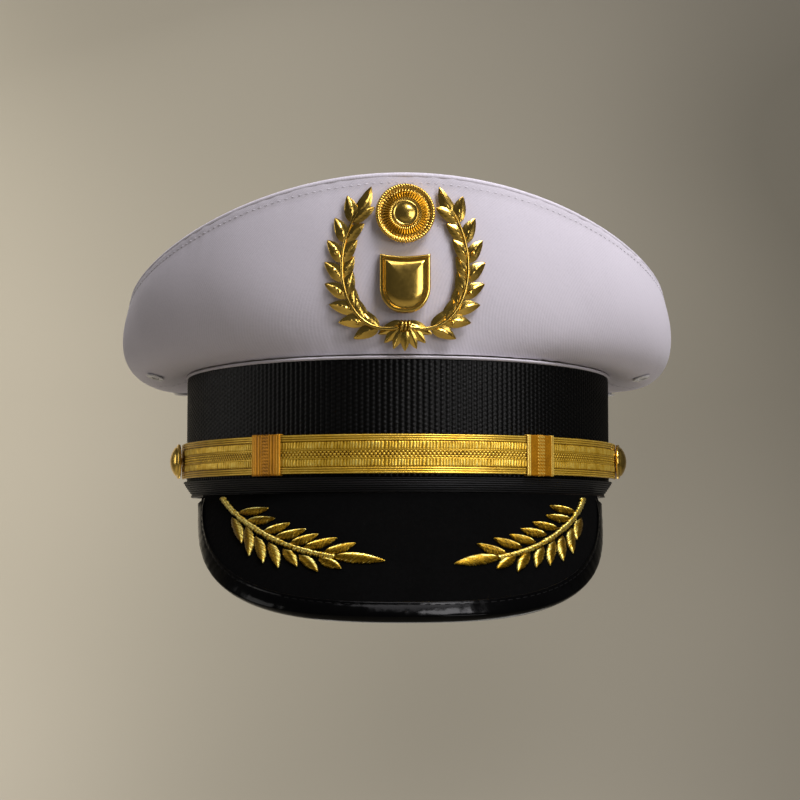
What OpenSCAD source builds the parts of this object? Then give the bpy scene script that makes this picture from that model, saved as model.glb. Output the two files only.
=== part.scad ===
// Peaked cap: white crown, black band, steep cloth visor, gold chin strap and badge.
// Millimetres. The origin is the middle of the head opening, level with the bottom of
// the ribbed welt. The front of the cap faces -Y and +Z is up.

/* [Head band] */
// Radius of the arcs at the front and the back of the band
end_radius = 75; // [73:0.5:77]
// Distance from the middle of the band to the centres of its four arcs
arc_shift = 29; // [28:0.5:30]
// Height of the top of the black webbing
band_height = 47; // [45:0.5:49]
// Thickness of the webbing, and of the stiff frame behind it
band_wall = 0.9; // [0.8:0.1:1]
// Height of the ribbed welt round the bottom of the band
welt_height = 5.4; // [4.5:0.1:5.6]
// How far the ribbed welt stands out from the webbing
welt_proud = 1.4; // [1:0.1:1.4]
// Height of the leather sweatband
sweat_height = 36; // [30:1:40]
// Thickness of the leather sweatband
sweat_wall = 1; // [0.8:0.1:1.2]

/* [Crown] */
// Half of the width across the rim
rim_half_width = 111.5; // [109:0.5:114]
// Half of the length along the rim
rim_half_length = 121.5; // [119:0.5:124]
// How far the middle of the rim sits behind the middle of the band
rim_set_back = 11.5; // [11:0.5:13]
// Height of the rim at the front
rim_front_z = 112.3; // [109:0.1:116]
// Height of the rim at the sides
rim_side_z = 77.3; // [75:0.1:80]
// Height of the rim at the back
rim_back_z = 80.3; // [78:0.1:84]
// Thickness of the crown cloth with its backing
cloth_wall = 0.9; // [0.7:0.1:1]
// Radius of the spring wire in the rim
wire_radius = 1.1; // [0.8:0.1:1.3]
// Radius of the hole through each vent eyelet
eyelet_hole = 1.6; // [1.2:0.1:1.8]

/* [Visor] */
// Half of the width of the visor
visor_half_width = 78; // [76:0.5:79]
// How far the visor reaches forward of the band
visor_reach = 33; // [28:1:36]
// How far the front of the visor drops
visor_drop = 42; // [38:0.5:45]
// Width of the patent binding round the edge
binding_width = 5.5; // [4:0.5:7]

/* [Chin strap] */
// Width of the gold lace strap
strap_width = 14; // [12:0.1:14]
// Thickness of each of its two layers
strap_wall = 0.7; // [0.6:0.1:0.7]
// Width of each slide
slide_width = 14; // [10:0.5:15]
// Angle of each slide at rest, round the middle of the front arc
slide_angle = 40; // [34:1:40]
// How far behind the middle of the band the strap buttons sit, negative is forward
button_y = -22; // [-26:1:-12]
// Radius of each strap button
button_radius = 7; // [6:0.5:7.5]
// Height of the dome of each strap button
button_dome = 3.4; // [3:0.2:5]

/* [Badge] */
// Height of the bottom of the badge
badge_base_z = 49; // [48:1:50]
// Distance between the two screw posts behind the badge
badge_post_gap = 12; // [10:1:14]

/* [Hidden] */
$fn = 96;

// Band
side_radius = end_radius + arc_shift * sqrt(2);
half_width = end_radius + arc_shift * (sqrt(2) - 1);
half_length = end_radius + arc_shift;
frame_out = -band_wall;
frame_in = -2 * band_wall;
sweat_out = frame_in - 1.8;
sweat_in = sweat_out - sweat_wall;
piping_z = band_height + 0.1;
piping_height = 1.3;
crown_base_z = piping_z + piping_height + 0.8;

// Crown: the rim height is a sum of cosines, so the top is a stretched film over it
rim_mean = (rim_front_z + rim_back_z) / 4 + rim_side_z / 2;
rim_saddle = (rim_front_z + rim_back_z) / 4 - rim_side_z / 2;
rim_third = 0.9;
rim_tilt = (rim_front_z - rim_back_z) / 2 - rim_third;
seam_angle = 93;
// Outward and upward pull of the side panels at the band and at the rim,
// each for the front, the sides and the back
base_out = [4, 25.5, 24];
base_up = [14, -11, -8];
rim_out = [1.5, 8.5, 8];
rim_down = [24, 19, 19];
eyelet_angles = [75, 112];
eyelet_t = 0.24;
stay_angle = 24;
lining_gap = 6;
lining_wall = 0.7;

// Visor layers, measured down from its top face
visor_root_z = -0.3;
visor_swell = 1.5;
visor_corner = 3.5;
visor_taper = 0.03;
visor_end = 84;
cloth_down = 0.7;
core_down = 2.4;
underlay_down = 3;

// Chin strap
strap_z = welt_height + 1.1;
strap_mid_z = strap_z + strap_width / 2;
slide_back = 0.95;
slide_wall = 0.35;
slide_gap = 0.1;
strap_back = slide_back + slide_wall + slide_gap;
strap_front = strap_back + 2 * strap_wall;
strap_lap = 45;
strap_tail = 7;
button_gap = 0.3;
button_tilt = asin(-button_y / side_radius);
button_x = side_radius * cos(button_tilt) - arc_shift;
shank_radius = 1.5;
shank_hole = 1.58;
strap_hole = 2;

// Badge
badge_height = 60;
badge_post_z = 70;
post_radius = 1.2;

function unit(v) = v / norm(v);
function mix(a, b, t) = a + (b - a) * t;
function flat(rows) = [for (r = rows) each r];
function bez(p, t) =
    pow(1 - t, 3) * p[0] + 3 * pow(1 - t, 2) * t * p[1]
    + 3 * (1 - t) * t * t * p[2] + pow(t, 3) * p[3];
function bez_slope(p, t) =
    pow(1 - t, 2) * (p[1] - p[0]) + 2 * (1 - t) * t * (p[2] - p[1]) + t * t * (p[3] - p[2]);

// ---- Shared shapes ----

// Point of the band's outline where its normal turns by a from the front
function oval_pt(a, d = 0) =
    let (n = [sin(a), -cos(a)])
    abs(n.x) <= sqrt(0.5)
        ? [0, -sign(-n.y) * arc_shift] + (end_radius + d) * n
        : [-sign(n.x) * arc_shift, 0] + (side_radius + d) * n;

module oval(d = 0) {
    reach = arc_shift + (end_radius + d) * sqrt(0.5);
    for (s = [-1, 1]) translate([0, s * arc_shift]) circle(end_radius + d);
    intersection() {
        translate([arc_shift, 0]) circle(side_radius + d);
        translate([-arc_shift, 0]) circle(side_radius + d);
        square([4 * reach, 2 * reach], center = true);
    }
}

module oval_ring(d_in, d_out, z, h) {
    translate([0, 0, z]) linear_extrude(h) difference() {
        oval(d_out);
        oval(d_in);
    }
}

// Wedge seen from above, from angle a0 to a1 measured from the front, about the front arc
module wedge(a0, a1, reach = 300) {
    steps = 6;
    translate([0, -arc_shift]) polygon(concat([[0, 0]],
        [for (i = [0:steps]) let (a = mix(a0, a1, i / steps)) reach * [sin(a), -cos(a)]]));
}

// Closed solid between two grids of points
module sheet(out, inn) {
    m = len(out);
    n = len(out[0]);
    k = m * n;
    last = (m - 1) * n;
    faces = concat(
        [for (i = [0:m - 2], j = [0:n - 2]) let (p = i * n + j)
            each [[p, p + 1, p + n + 1], [p, p + n + 1, p + n]]],
        [for (i = [0:m - 2], j = [0:n - 2]) let (p = k + i * n + j)
            each [[p + n + 1, p + 1, p], [p + n, p + n + 1, p]]],
        [for (j = [0:n - 2]) each [[j + 1, j, k + j], [j + 1, k + j, k + j + 1]]],
        [for (j = [0:n - 2]) let (p = last + j)
            each [[p, p + 1, k + p + 1], [p, k + p + 1, k + p]]],
        [for (i = [0:m - 2]) let (p = i * n)
            each [[p, p + n, k + p + n], [p, k + p + n, k + p]]],
        [for (i = [0:m - 2]) let (p = i * n + n - 1)
            each [[p + n, p, k + p], [p + n, k + p, k + p + n]]]
    );
    polyhedron(concat(flat(out), flat(inn)), faces, convexity = 6);
}

// Closed dome between two lists of rings, each closed at the top by its centre point
module dome(out, inn, top_out, top_in) {
    m = len(out);
    n = len(out[0]);
    k = m * n;
    last = (m - 1) * n;
    faces = concat(
        [for (i = [0:m - 2], j = [0:n - 1]) let (q = (j + 1) % n, p = i * n)
            each [[p + j, p + q, p + n + q], [p + j, p + n + q, p + n + j]]],
        [for (i = [0:m - 2], j = [0:n - 1]) let (q = (j + 1) % n, p = k + i * n)
            each [[p + n + q, p + q, p + j], [p + n + j, p + n + q, p + j]]],
        [for (j = [0:n - 1]) let (q = (j + 1) % n)
            each [[q, j, k + j], [q, k + j, k + q]]],
        [for (j = [0:n - 1]) [last + j, last + (j + 1) % n, 2 * k]],
        [for (j = [0:n - 1]) [k + last + (j + 1) % n, k + last + j, 2 * k + 1]]
    );
    polyhedron(concat(flat(out), flat(inn), [top_out, top_in]), faces, convexity = 6);
}

// Bar with the same closed section at each station, rings listed in order
module swept(rings) {
    m = len(rings);
    n = len(rings[0]);
    faces = concat(
        [for (i = [0:m - 2], j = [0:n - 1]) let (q = (j + 1) % n, p = i * n)
            each [[p + j, p + q, p + n + q], [p + j, p + n + q, p + n + j]]],
        [[for (j = [n - 1:-1:0]) j]],
        [[for (j = [0:n - 1]) (m - 1) * n + j]]
    );
    polyhedron(flat(rings), faces, convexity = 6);
}

// Leaf from base to tip in the plane of f(u, v, height), thickest along its middle
module leaf(f, base, tip, width, low, high) {
    n = 10;
    along = tip - base;
    across = [-along.y, along.x] / norm(along) * width / 2;
    ring = [for (i = [0:n - 1]) let (a = 360 * i / n)
        base + along * (0.5 - 0.5 * cos(a)) + across * sin(a) * (1 - 0.25 * cos(a))];
    spine = [for (s = [0.2, 0.5, 0.8]) base + along * s];
    points = concat([for (p = ring) f(p.x, p.y, low)],
        [for (p = ring) f(p.x, p.y, mix(low, high, 0.45))],
        [for (p = spine) f(p.x, p.y, high)]);
    hull() polyhedron(points, [[for (i = [0:len(points) - 1]) i]]);
}

// Ribbon of width w along the curve p in the plane of f. turn is 1 where u, v and the
// height of f make a right-handed set, and -1 where they make a left-handed one.
module stem(f, p, w, low, high, turn, steps = 12) {
    side = function(t) let (s = unit(bez_slope(p, t))) turn * [-s.y, s.x] * w / 2;
    row = function(h) [for (i = [0:steps]) let (t = i / steps, c = bez(p, t), s = side(t))
        [f(c.x - s.x, c.y - s.y, h), f(c.x + s.x, c.y + s.y, h)]];
    sheet(row(high), row(low));
}

// Turns +Z to the direction n
module aim(n) {
    rotate([0, acos(n.z), atan2(n.y, n.x)]) children();
}

// Ring-shaped washer or nut blank
module ring(r_out, r_in, h) {
    difference() {
        cylinder(r = r_out, h = h);
        translate([0, 0, -1]) cylinder(r = r_in, h = h + 2);
    }
}

// ---- Crown surface ----

function blend3(v, a) =
    let (c = cos(a)) v[1] * (1 - c * c) + (c > 0 ? v[0] : v[2]) * c * c;

function rim_height(a, r = 1) =
    rim_mean + rim_tilt * r * cos(a) + rim_saddle * r * r * cos(2 * a)
    + rim_third * pow(r, 3) * cos(3 * a);

function rim_pt(a, r = 1) =
    [rim_half_width * r * sin(a), rim_set_back - rim_half_length * r * cos(a),
     rim_height(a, r)];

function rim_normal(a) =
    let (n = unit([sin(a) / rim_half_width, -cos(a) / rim_half_length])) [n.x, n.y, 0];

function side_pt(a, t) =
    let (b = oval_pt(atan2(half_length * sin(a), half_width * cos(a)), -band_wall),
         base = [b.x, b.y, crown_base_z], rim = rim_pt(a), n = rim_normal(a))
    bez([base, base + blend3(base_out, a) * n + [0, 0, blend3(base_up, a)],
         rim + blend3(rim_out, a) * n - [0, 0, blend3(rim_down, a)], rim], t);

function side_normal(a, t) =
    let (t0 = max(t - 0.01, 0), t1 = min(t + 0.01, 1))
    unit(cross(side_pt(a + 0.5, t) - side_pt(a - 0.5, t), side_pt(a, t1) - side_pt(a, t0)));

function side_at(a, t, d) = side_pt(a, t) + d * side_normal(a, t);

module crown_panel(a0, a1, steps, rows, d_out, d_in, t0 = 0, t1 = 1) {
    grid = function(d) [for (i = [0:steps]) [for (j = [0:rows])
        side_at(mix(a0, a1, i / steps), mix(t0, t1, j / rows), d)]];
    sheet(grid(d_out), grid(d_in));
}

module at_side(a, t, d = 0) {
    translate(side_at(a, t, d)) aim(side_normal(a, t)) children();
}

// ---- Visor surface ----

function band_y(x, d) =
    abs(x) < (end_radius + d) * sqrt(0.5)
        ? -arc_shift - sqrt(pow(end_radius + d, 2) - x * x)
        : -sqrt(pow(side_radius + d, 2) - pow(abs(x) + arc_shift, 2));

function visor_root(a) =
    let (x = (visor_half_width - 1.5) * sin(a)) [x, band_y(x, -0.6), visor_root_z];

function visor_lip(a) =
    let (root_y = band_y(visor_half_width, 0),
         fall = pow(1 - pow(abs(sin(a)), visor_corner), 1 / visor_corner))
    [visor_half_width * sin(a) * (1 - visor_taper * fall),
     root_y - (half_length + visor_reach + root_y) * cos(a), -visor_drop * fall];

function visor_pt(a, v) =
    let (root = visor_root(a), lip = visor_lip(a), fall = lip - root)
    mix(root, lip, v)
    + visor_swell * sin(180 * v) * cos(a) * unit([0, fall.z, -fall.y]);

function visor_normal(a, v) =
    let (v0 = max(v - 0.02, 0), v1 = min(v + 0.02, 1))
    unit(cross(visor_pt(a, v1) - visor_pt(a, v0), visor_pt(a + 1, v) - visor_pt(a - 1, v)));

function visor_at(a, v, d) = visor_pt(a, v) + d * visor_normal(a, v);

// Point of the visor x from the middle and q down its face, d above the cloth
function visor_face(x, q, d) =
    let (a = asin(x / (visor_half_width - 0.75)),
         v = q / norm(visor_lip(a) - visor_root(a)))
    visor_at(a, v, d);

module visor_layer(d_top, d_under) {
    steps = 36;
    rows = 5;
    grid = function(d) [for (j = [0:rows]) [for (i = [0:steps])
        visor_at(mix(-visor_end, visor_end, i / steps), j / rows, d)]];
    sheet(grid(d_top), grid(d_under));
}

// ---- Band ----

// Both strap buttons: s is -1 for the wearer's right and 1 for the left
module at_button(s, d = 0) {
    translate([s * button_x, button_y, strap_mid_z])
        rotate([0, 0, s > 0 ? -button_tilt : 180 + button_tilt])
            rotate([0, 90, 0]) translate([0, 0, d]) children();
}

module shank_holes(r = shank_hole) {
    for (s = [-1, 1]) at_button(s, -20) cylinder(r = r, h = 40);
}

module band_frame() {
    color("saddlebrown") difference() {
        oval_ring(frame_in, frame_out, 0.2, band_height - 0.4);
        shank_holes();
    }
}

module cap_band() {
    color("black") difference() {
        oval_ring(frame_out, 0, welt_height, band_height - welt_height);
        shank_holes();
    }
}

// Ribs stacked round the bottom of the band, each lower one a little further in
module band_welt() {
    ribs = 7;
    tuck = 1.9;
    pitch = welt_height / ribs;
    color("black") for (i = [0:ribs - 1])
        oval_ring(frame_out, welt_proud - tuck * pow(1 - i / (ribs - 1), 2),
            i * pitch, (i < ribs - 1) ? pitch + 0.01 : pitch);
}

module crown_welt() {
    color("white") oval_ring(frame_in, 0.7, piping_z, piping_height);
}

module sweatband() {
    gap = 6;
    color("tan") difference() {
        oval_ring(sweat_in, sweat_out, 0, sweat_height);
        translate([-gap / 2, 0, -1]) cube([gap, half_length, sweat_height + 2]);
    }
}

module sweatband_reed() {
    color("ivory") oval_ring(sweat_in, frame_in, -0.8, 0.7);
}

module sweatband_bow() {
    y = half_length + sweat_in - 1.6;
    color("black") translate([0, y, sweat_height - 5]) rotate([90, 0, 0]) {
        cylinder(r = 1.6, h = 1.2);
        for (s = [-1, 1]) {
            linear_extrude(1.2) polygon([[0, 0.8], [s * 9, 4], [s * 9, -4], [0, -0.8]]);
            linear_extrude(0.5) polygon([[0, 0.5], [s * 3, -9], [s * 6, -8.2], [s * 1.2, 0]]);
        }
    }
}

module forehead_felt() {
    color("dimgray") translate([0, 0, 3]) linear_extrude(28) intersection() {
        difference() {
            oval(frame_in - 0.2);
            oval(sweat_out + 0.2);
        }
        wedge(-40, 40);
    }
}

// ---- Crown ----

module post_holes(r) {
    for (s = [-1, 1]) translate([s * badge_post_gap / 2, -half_length - 20, badge_post_z])
        rotate([-90, 0, 0]) cylinder(r = r, h = 40);
}

module eyelet_holes() {
    for (s = [-1, 1], a = eyelet_angles)
        at_side(s * a, eyelet_t, -4) cylinder(r = eyelet_hole + 0.6, h = 8);
}

module crown_front_panel() {
    color("white") difference() {
        crown_panel(-seam_angle, seam_angle, 36, 8, 0, -cloth_wall);
        post_holes(post_radius + 0.3);
        eyelet_holes();
    }
}

module crown_quarter(s) {
    color("white") difference() {
        if (s > 0) crown_panel(seam_angle, 180, 16, 8, 0, -cloth_wall);
        else crown_panel(180, 360 - seam_angle, 16, 8, 0, -cloth_wall);
        eyelet_holes();
    }
}

module crown_quarter_left() {
    crown_quarter(1);
}

module crown_quarter_right() {
    crown_quarter(-1);
}

module crown_top_panel() {
    steps = 48;
    radii = [1.004, 0.8, 0.55, 0.28];
    rings = function(d) [for (r = radii) [for (i = [0:steps - 1])
        rim_pt(360 * i / steps, r) + [0, 0, d]]];
    color("white") dome(rings(0.15 + cloth_wall), rings(0.15),
        rim_pt(0, 0) + [0, 0, 0.15 + cloth_wall], rim_pt(0, 0) + [0, 0, 0.15]);
}

// Middle of the rim wire, tucked into the corner under the rim
function wire_pt(a) = rim_pt(a) - 2.9 * rim_normal(a) - [0, 0, 2.7];

module wire_tube(a0, a1, steps, r, sides) {
    swept([for (i = [0:steps])
        let (a = mix(a0, a1, i / steps), n = rim_normal(a))
        [for (j = [0:sides - 1]) let (b = 360 * j / sides)
            wire_pt(a) + r * (cos(b) * n + [0, 0, sin(b)])]]);
}

module crown_rim_wire() {
    color("silver") wire_tube(-177.5, 177.5, 60, wire_radius, 6);
}

module rim_wire_ferrule() {
    color("goldenrod") translate(wire_pt(180)) rotate([0, 90, 0]) difference() {
        cylinder(r = 1.9, h = 16, center = true);
        cylinder(r = 1.4, h = 17, center = true);
    }
}

module front_stay() {
    color("gainsboro") difference() {
        crown_panel(-stay_angle, stay_angle, 10, 6, -1.4, -2.2, 0.04, 0.94);
        post_holes(post_radius + 0.1);
    }
}

module crown_lining() {
    steps = 40;
    side_rows = [0.02, 0.15, 0.3, 0.45, 0.6, 0.75, 0.88];
    top_rows = [0.92, 0.7, 0.45, 0.22];
    rings = function(d) concat(
        [for (t = side_rows) [for (i = [0:steps - 1]) side_at(360 * i / steps, t, -d)]],
        [for (r = top_rows) [for (i = [0:steps - 1]) rim_pt(360 * i / steps, r) - [0, 0, d]]]);
    color("lightgray") dome(rings(lining_gap), rings(lining_gap + lining_wall),
        rim_pt(0, 0) - [0, 0, lining_gap], rim_pt(0, 0) - [0, 0, lining_gap + lining_wall]);
}

module sweat_shield() {
    steps = 24;
    depth = lining_gap + lining_wall + 1;
    rings = function(d) [for (r = [1, 0.6]) [for (i = [0:steps - 1])
        let (a = 360 * i / steps) rim_pt(a, 0.52 * r / (abs(sin(a)) + abs(cos(a)))) - [0, 0, d]]];
    color("lightblue") dome(rings(depth), rings(depth + 0.4),
        rim_pt(0, 0) - [0, 0, depth], rim_pt(0, 0) - [0, 0, depth + 0.4]);
}

// Two-flange vent eyelets, one each side of the side seam
module eyelets(s) {
    color("gainsboro") for (a = eyelet_angles) at_side(s * a, eyelet_t) {
        rotate_extrude() translate([eyelet_hole, 0]) {
            translate([0, -2.2]) square([0.45, 2.6]);
            translate([0, 0.4]) square([2, 0.6]);
            translate([0, -2.8]) square([2, 0.6]);
        }
    }
}

module eyelets_left() {
    eyelets(1);
}

module eyelets_right() {
    eyelets(-1);
}

// ---- Visor ----

module visor_core() {
    color("peru") visor_layer(-cloth_down - 0.05, -core_down);
}

module visor_cloth() {
    color("black") visor_layer(0, -cloth_down);
}

module visor_underlay() {
    color("dimgray") visor_layer(-core_down - 0.05, -underlay_down);
}

// Folded strip that wraps the edge of all the layers
module visor_binding() {
    steps = 48;
    h0 = -underlay_down - 0.1;
    section = [[-binding_width, 0.1], [0.1, 0.1], [0.1, h0], [-binding_width, h0],
        [-binding_width, h0 - 0.6], [0.3, h0 - 0.6], [1, h0], [1, 0], [0.3, 0.7],
        [-binding_width, 0.7]];
    color("black") swept([for (i = [0:steps])
        let (a = mix(-visor_end, visor_end, i / steps), lip = visor_lip(a),
             out = unit(lip - visor_pt(a, 0.94)), up = visor_normal(a, 0.99))
        [for (p = section) lip + p.x * out + p.y * up]]);
}

// Leaf spray on one side of the visor: a curved stem with leaves on both sides
module embroidery(s) {
    low = 0.5;
    high = 1.3;
    place = function(x, q, d) visor_face(s * x, q, d);
    curve = s > 0 ? [[68.9, 2.7], [66, 13], [52, 26.5], [32.5, 30.3]]
        : [[67.5, 2.5], [62, 13], [46, 26.5], [25, 30]];
    tip = s > 0 ? [16.7, 32.8] : [7.6, 31.7];
    count = 7;
    color("gold") {
        stem(place, curve, 1.5, low, high, -s);
        leaf(place, bez(curve, 0.98), tip, 3, low, high);
        for (i = [0:count - 1], side = [-1, 1]) {
            k = i / (count - 1);
            t = (side > 0 ? 0.27 : 0.2) + 0.7 * k;
            dir = unit(bez_slope(curve, t));
            turn = side > 0 ? mix(52, 32, k) : -mix(32, 20, k);
            way = [dir.x * cos(turn) - dir.y * sin(turn), dir.x * sin(turn) + dir.y * cos(turn)];
            base = bez(curve, t) + 1.6 * way;
            leaf(place, base, base + (side > 0 ? 10 : mix(11.5, 8, k)) * way, 3, low, high);
        }
    }
}

module embroidery_left() {
    embroidery(1);
}

module embroidery_right() {
    embroidery(-1);
}

// ---- Badge ----

// Curved face the badge is bent to, just clear of the front panel
function badge_face(x, z, d) =
    let (k = (badge_base_z + badge_height - z) / badge_height)
    [x, -half_length - 7.4 - d + 5.6 * k * k + x * x / 190, z];

module badge_wreath() {
    low = 0.2;
    count = 8;
    color("gold") for (s = [-1, 1]) {
        place = function(x, z, d) badge_face(s * x, z, d);
        z0 = badge_base_z;
        curve = [[2.5, z0 + 9], [20, z0 + 5], [29, z0 + 30], [17, z0 + 50]];
        stem(place, curve, 1.6, low, 1.8, s);
        leaf(place, bez(curve, 0.97), [12, z0 + 59], 4.4, low, 2);
        for (i = [0:count - 1], side = [-1, 1]) {
            t = 0.14 + 0.8 * i / (count - 1);
            base = bez(curve, t);
            dir = unit(bez_slope(curve, t));
            normal = [dir.y, -dir.x] * side;
            leaf(place, base + 0.4 * normal, base + 8 * dir + 5.4 * normal, 4.4, low, 2);
        }
        for (a = [0, 22, 44, 66])
            leaf(place, [0.4, z0 + 11], [0.4 + 10 * sin(a), z0 + 11 - 10 * cos(a)], 3.6, low, 2.2);
    }
}

module badge_shield() {
    z0 = badge_base_z + 14;
    w = 9;
    h = 21;
    outline = concat([[-w, h], [w, h]],
        [for (i = [0:6]) let (a = 15 * i) [w * cos(a), h * 0.45 * (1 - 1.02 * sin(a))]],
        [for (i = [5:-1:0]) let (a = 15 * i) [-w * cos(a), h * 0.45 * (1 - 1.02 * sin(a))]]);
    y = badge_face(0, z0 + h / 2, 0).y;
    color("gold") translate([0, y + 0.1, z0]) rotate([90, 0, 0]) {
        linear_extrude(2.2) polygon(outline);
        translate([0, h * 0.12, 2.2]) linear_extrude(0.8)
            polygon([for (p = outline) [p.x * 0.8, p.y * 0.8]]);
    }
}

module badge_disc() {
    z = badge_base_z + badge_height - 10.8;
    rays = 24;
    y = badge_face(0, z, 0).y;
    color("gold") translate([0, y, z]) rotate([90, 0, 0]) {
        rotate_extrude() {
            square([10.8, 1.6]);
            translate([9.2, 1.6]) square([1.6, 0.8]);
            translate([0, 1.6]) square([3, 1]);
        }
        for (i = [0:rays - 1]) rotate(360 * i / rays)
            translate([3.6, -0.3, 1.6]) cube([5, 0.6, 0.5]);
    }
}

module badge_screw_posts() {
    y = badge_face(0, badge_post_z, 0).y + 0.1;
    color("goldenrod") for (s = [-1, 1])
        translate([s * badge_post_gap / 2, y, badge_post_z]) rotate([-90, 0, 0])
            cylinder(r = post_radius, h = 7);
}

module badge_thumb_nuts() {
    y = badge_face(0, badge_post_z, 0).y + 5.4;
    color("goldenrod") for (s = [-1, 1])
        translate([s * badge_post_gap / 2, y, badge_post_z]) rotate([-90, 0, 0])
            ring(3.4, post_radius + 0.05, 1.8);
}

// ---- Chin strap ----

// One length of the strap: from its button on side s, round the front, to past the
// slide on the other side
module strap_length(s, d0, d1) {
    color("gold") difference() {
        translate([0, 0, strap_z]) linear_extrude(strap_width) intersection() {
            difference() {
                oval(d1);
                oval(d0);
            }
            translate([-200, -300 + button_y + strap_tail]) square([400, 300]);
            mirror([s > 0 ? 1 : 0, 0]) wedge(-130, strap_lap);
        }
        shank_holes(strap_hole);
    }
}

module strap_left() {
    strap_length(1, strap_back + strap_wall, strap_front);
}

module strap_right() {
    strap_length(-1, strap_back, strap_back + strap_wall);
}

// Keeper that wraps both layers and runs along them
module strap_slide(s) {
    half = asin(slide_width / 2 / (end_radius + strap_front));
    outer = strap_front + slide_gap + slide_wall + 0.1;
    module arc(d0, d1, z0, z1) {
        translate([0, 0, z0]) linear_extrude(z1 - z0) intersection() {
            translate([0, -arc_shift]) difference() {
                circle(end_radius + d1);
                circle(end_radius + d0);
            }
            wedge(s * slide_angle - half, s * slide_angle + half);
        }
    }
    low = strap_z - slide_gap;
    high = strap_z + strap_width + slide_gap;
    color("orange") difference() {
        arc(slide_back, outer, low - slide_wall, high + slide_wall);
        arc(strap_back - slide_gap, strap_front + slide_gap, low, high);
    }
}

module strap_slide_left() {
    strap_slide(1);
}

module strap_slide_right() {
    strap_slide(-1);
}

// Hollow domed shell with a rolled edge
module button_shell(s) {
    dome_radius = (button_radius * button_radius + button_dome * button_dome)
        / (2 * button_dome);
    wall = 0.5;
    color("gold") at_button(s, strap_front + button_gap) rotate_extrude() {
        intersection() {
            difference() {
                translate([0, button_dome + 0.6 - dome_radius]) circle(dome_radius);
                translate([0, button_dome + 0.6 - dome_radius]) circle(dome_radius - wall);
            }
            translate([0, 0.6]) square([button_radius, button_dome + 1]);
        }
        translate([button_radius - 1.1, 0]) square([1.1, 1.2]);
    }
}

module button_shell_left() {
    button_shell(1);
}

module button_shell_right() {
    button_shell(-1);
}

// Back plate and screw shank
module button_shank(s) {
    tail = frame_in - 1.5;
    color("goldenrod") at_button(s) {
        translate([0, 0, strap_front + button_gap])
            cylinder(r = button_radius - 1.1, h = 0.6);
        translate([0, 0, tail])
            cylinder(r = shank_radius, h = strap_front + button_gap - tail);
    }
}

module button_shank_left() {
    button_shank(1);
}

module button_shank_right() {
    button_shank(-1);
}

module button_washers() {
    color("silver") for (s = [-1, 1]) at_button(s, frame_in - 0.45) ring(4, shank_hole, 0.35);
}

module button_nuts() {
    color("goldenrod") for (s = [-1, 1]) at_button(s, frame_in - 1.45)
        ring(3, shank_hole, 0.95);
}

band_frame();
cap_band();
band_welt();
crown_welt();
sweatband();
sweatband_reed();
sweatband_bow();
forehead_felt();
crown_front_panel();
crown_quarter_left();
crown_quarter_right();
crown_top_panel();
crown_rim_wire();
rim_wire_ferrule();
front_stay();
crown_lining();
sweat_shield();
eyelets_left();
eyelets_right();
visor_core();
visor_cloth();
visor_underlay();
visor_binding();
embroidery_left();
embroidery_right();
badge_wreath();
badge_shield();
badge_disc();
badge_screw_posts();
badge_thumb_nuts();
strap_left();
strap_right();
strap_slide_left();
strap_slide_right();
button_shell_left();
button_shell_right();
button_shank_left();
button_shank_right();
button_washers();
button_nuts();
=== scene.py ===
"""Peaked cap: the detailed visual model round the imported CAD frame. Sizes in millimetres."""

import math

import bmesh
import bpy
import numpy as np
from mathutils import Matrix, Vector


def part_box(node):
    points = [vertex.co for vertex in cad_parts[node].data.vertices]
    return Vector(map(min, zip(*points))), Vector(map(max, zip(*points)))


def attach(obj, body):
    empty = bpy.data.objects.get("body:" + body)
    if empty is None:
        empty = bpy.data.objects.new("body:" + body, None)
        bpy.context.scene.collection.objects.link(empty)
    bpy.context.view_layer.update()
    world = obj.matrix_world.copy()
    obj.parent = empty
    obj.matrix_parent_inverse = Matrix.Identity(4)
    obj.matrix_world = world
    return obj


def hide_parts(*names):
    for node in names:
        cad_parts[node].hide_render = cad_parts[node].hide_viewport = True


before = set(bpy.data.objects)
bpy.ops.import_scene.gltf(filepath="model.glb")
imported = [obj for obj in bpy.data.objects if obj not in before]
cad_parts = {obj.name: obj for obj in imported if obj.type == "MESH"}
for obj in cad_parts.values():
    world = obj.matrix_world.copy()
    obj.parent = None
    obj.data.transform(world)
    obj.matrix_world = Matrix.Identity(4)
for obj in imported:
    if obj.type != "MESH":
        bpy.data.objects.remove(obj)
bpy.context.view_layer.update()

MM = 0.001
UP = np.array([0.0, 0.0, 1.0])


def span(node):
    lo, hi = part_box(node)
    return np.array(lo) / MM, np.array(hi) / MM


# ---- Sizes, in millimetres: from the frame's boxes where they show, else as the CAD has them ----
BAND_LO, BAND_HI = span("cap_band")
HALF_W, HALF_L = float(BAND_HI[0]), float(BAND_HI[1])
SHIFT = (HALF_L - HALF_W) / (2 - math.sqrt(2))
END_R = HALF_L - SHIFT
SIDE_R = END_R + SHIFT * math.sqrt(2)
WELT_TOP, BAND_TOP = float(BAND_LO[2]), float(BAND_HI[2])
BAND_WALL = 0.9
WELT_PROUD = float(span("band_welt")[1][0]) - HALF_W
PIPING_LO, PIPING_HI = (float(c[2]) for c in span("crown_welt"))
BASE_Z = PIPING_HI + 0.8
CLOTH = 0.9
SWEAT_HI = float(span("sweatband")[1][2])
SWEAT_OUT, SWEAT_IN = -3.6, -4.6

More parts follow.
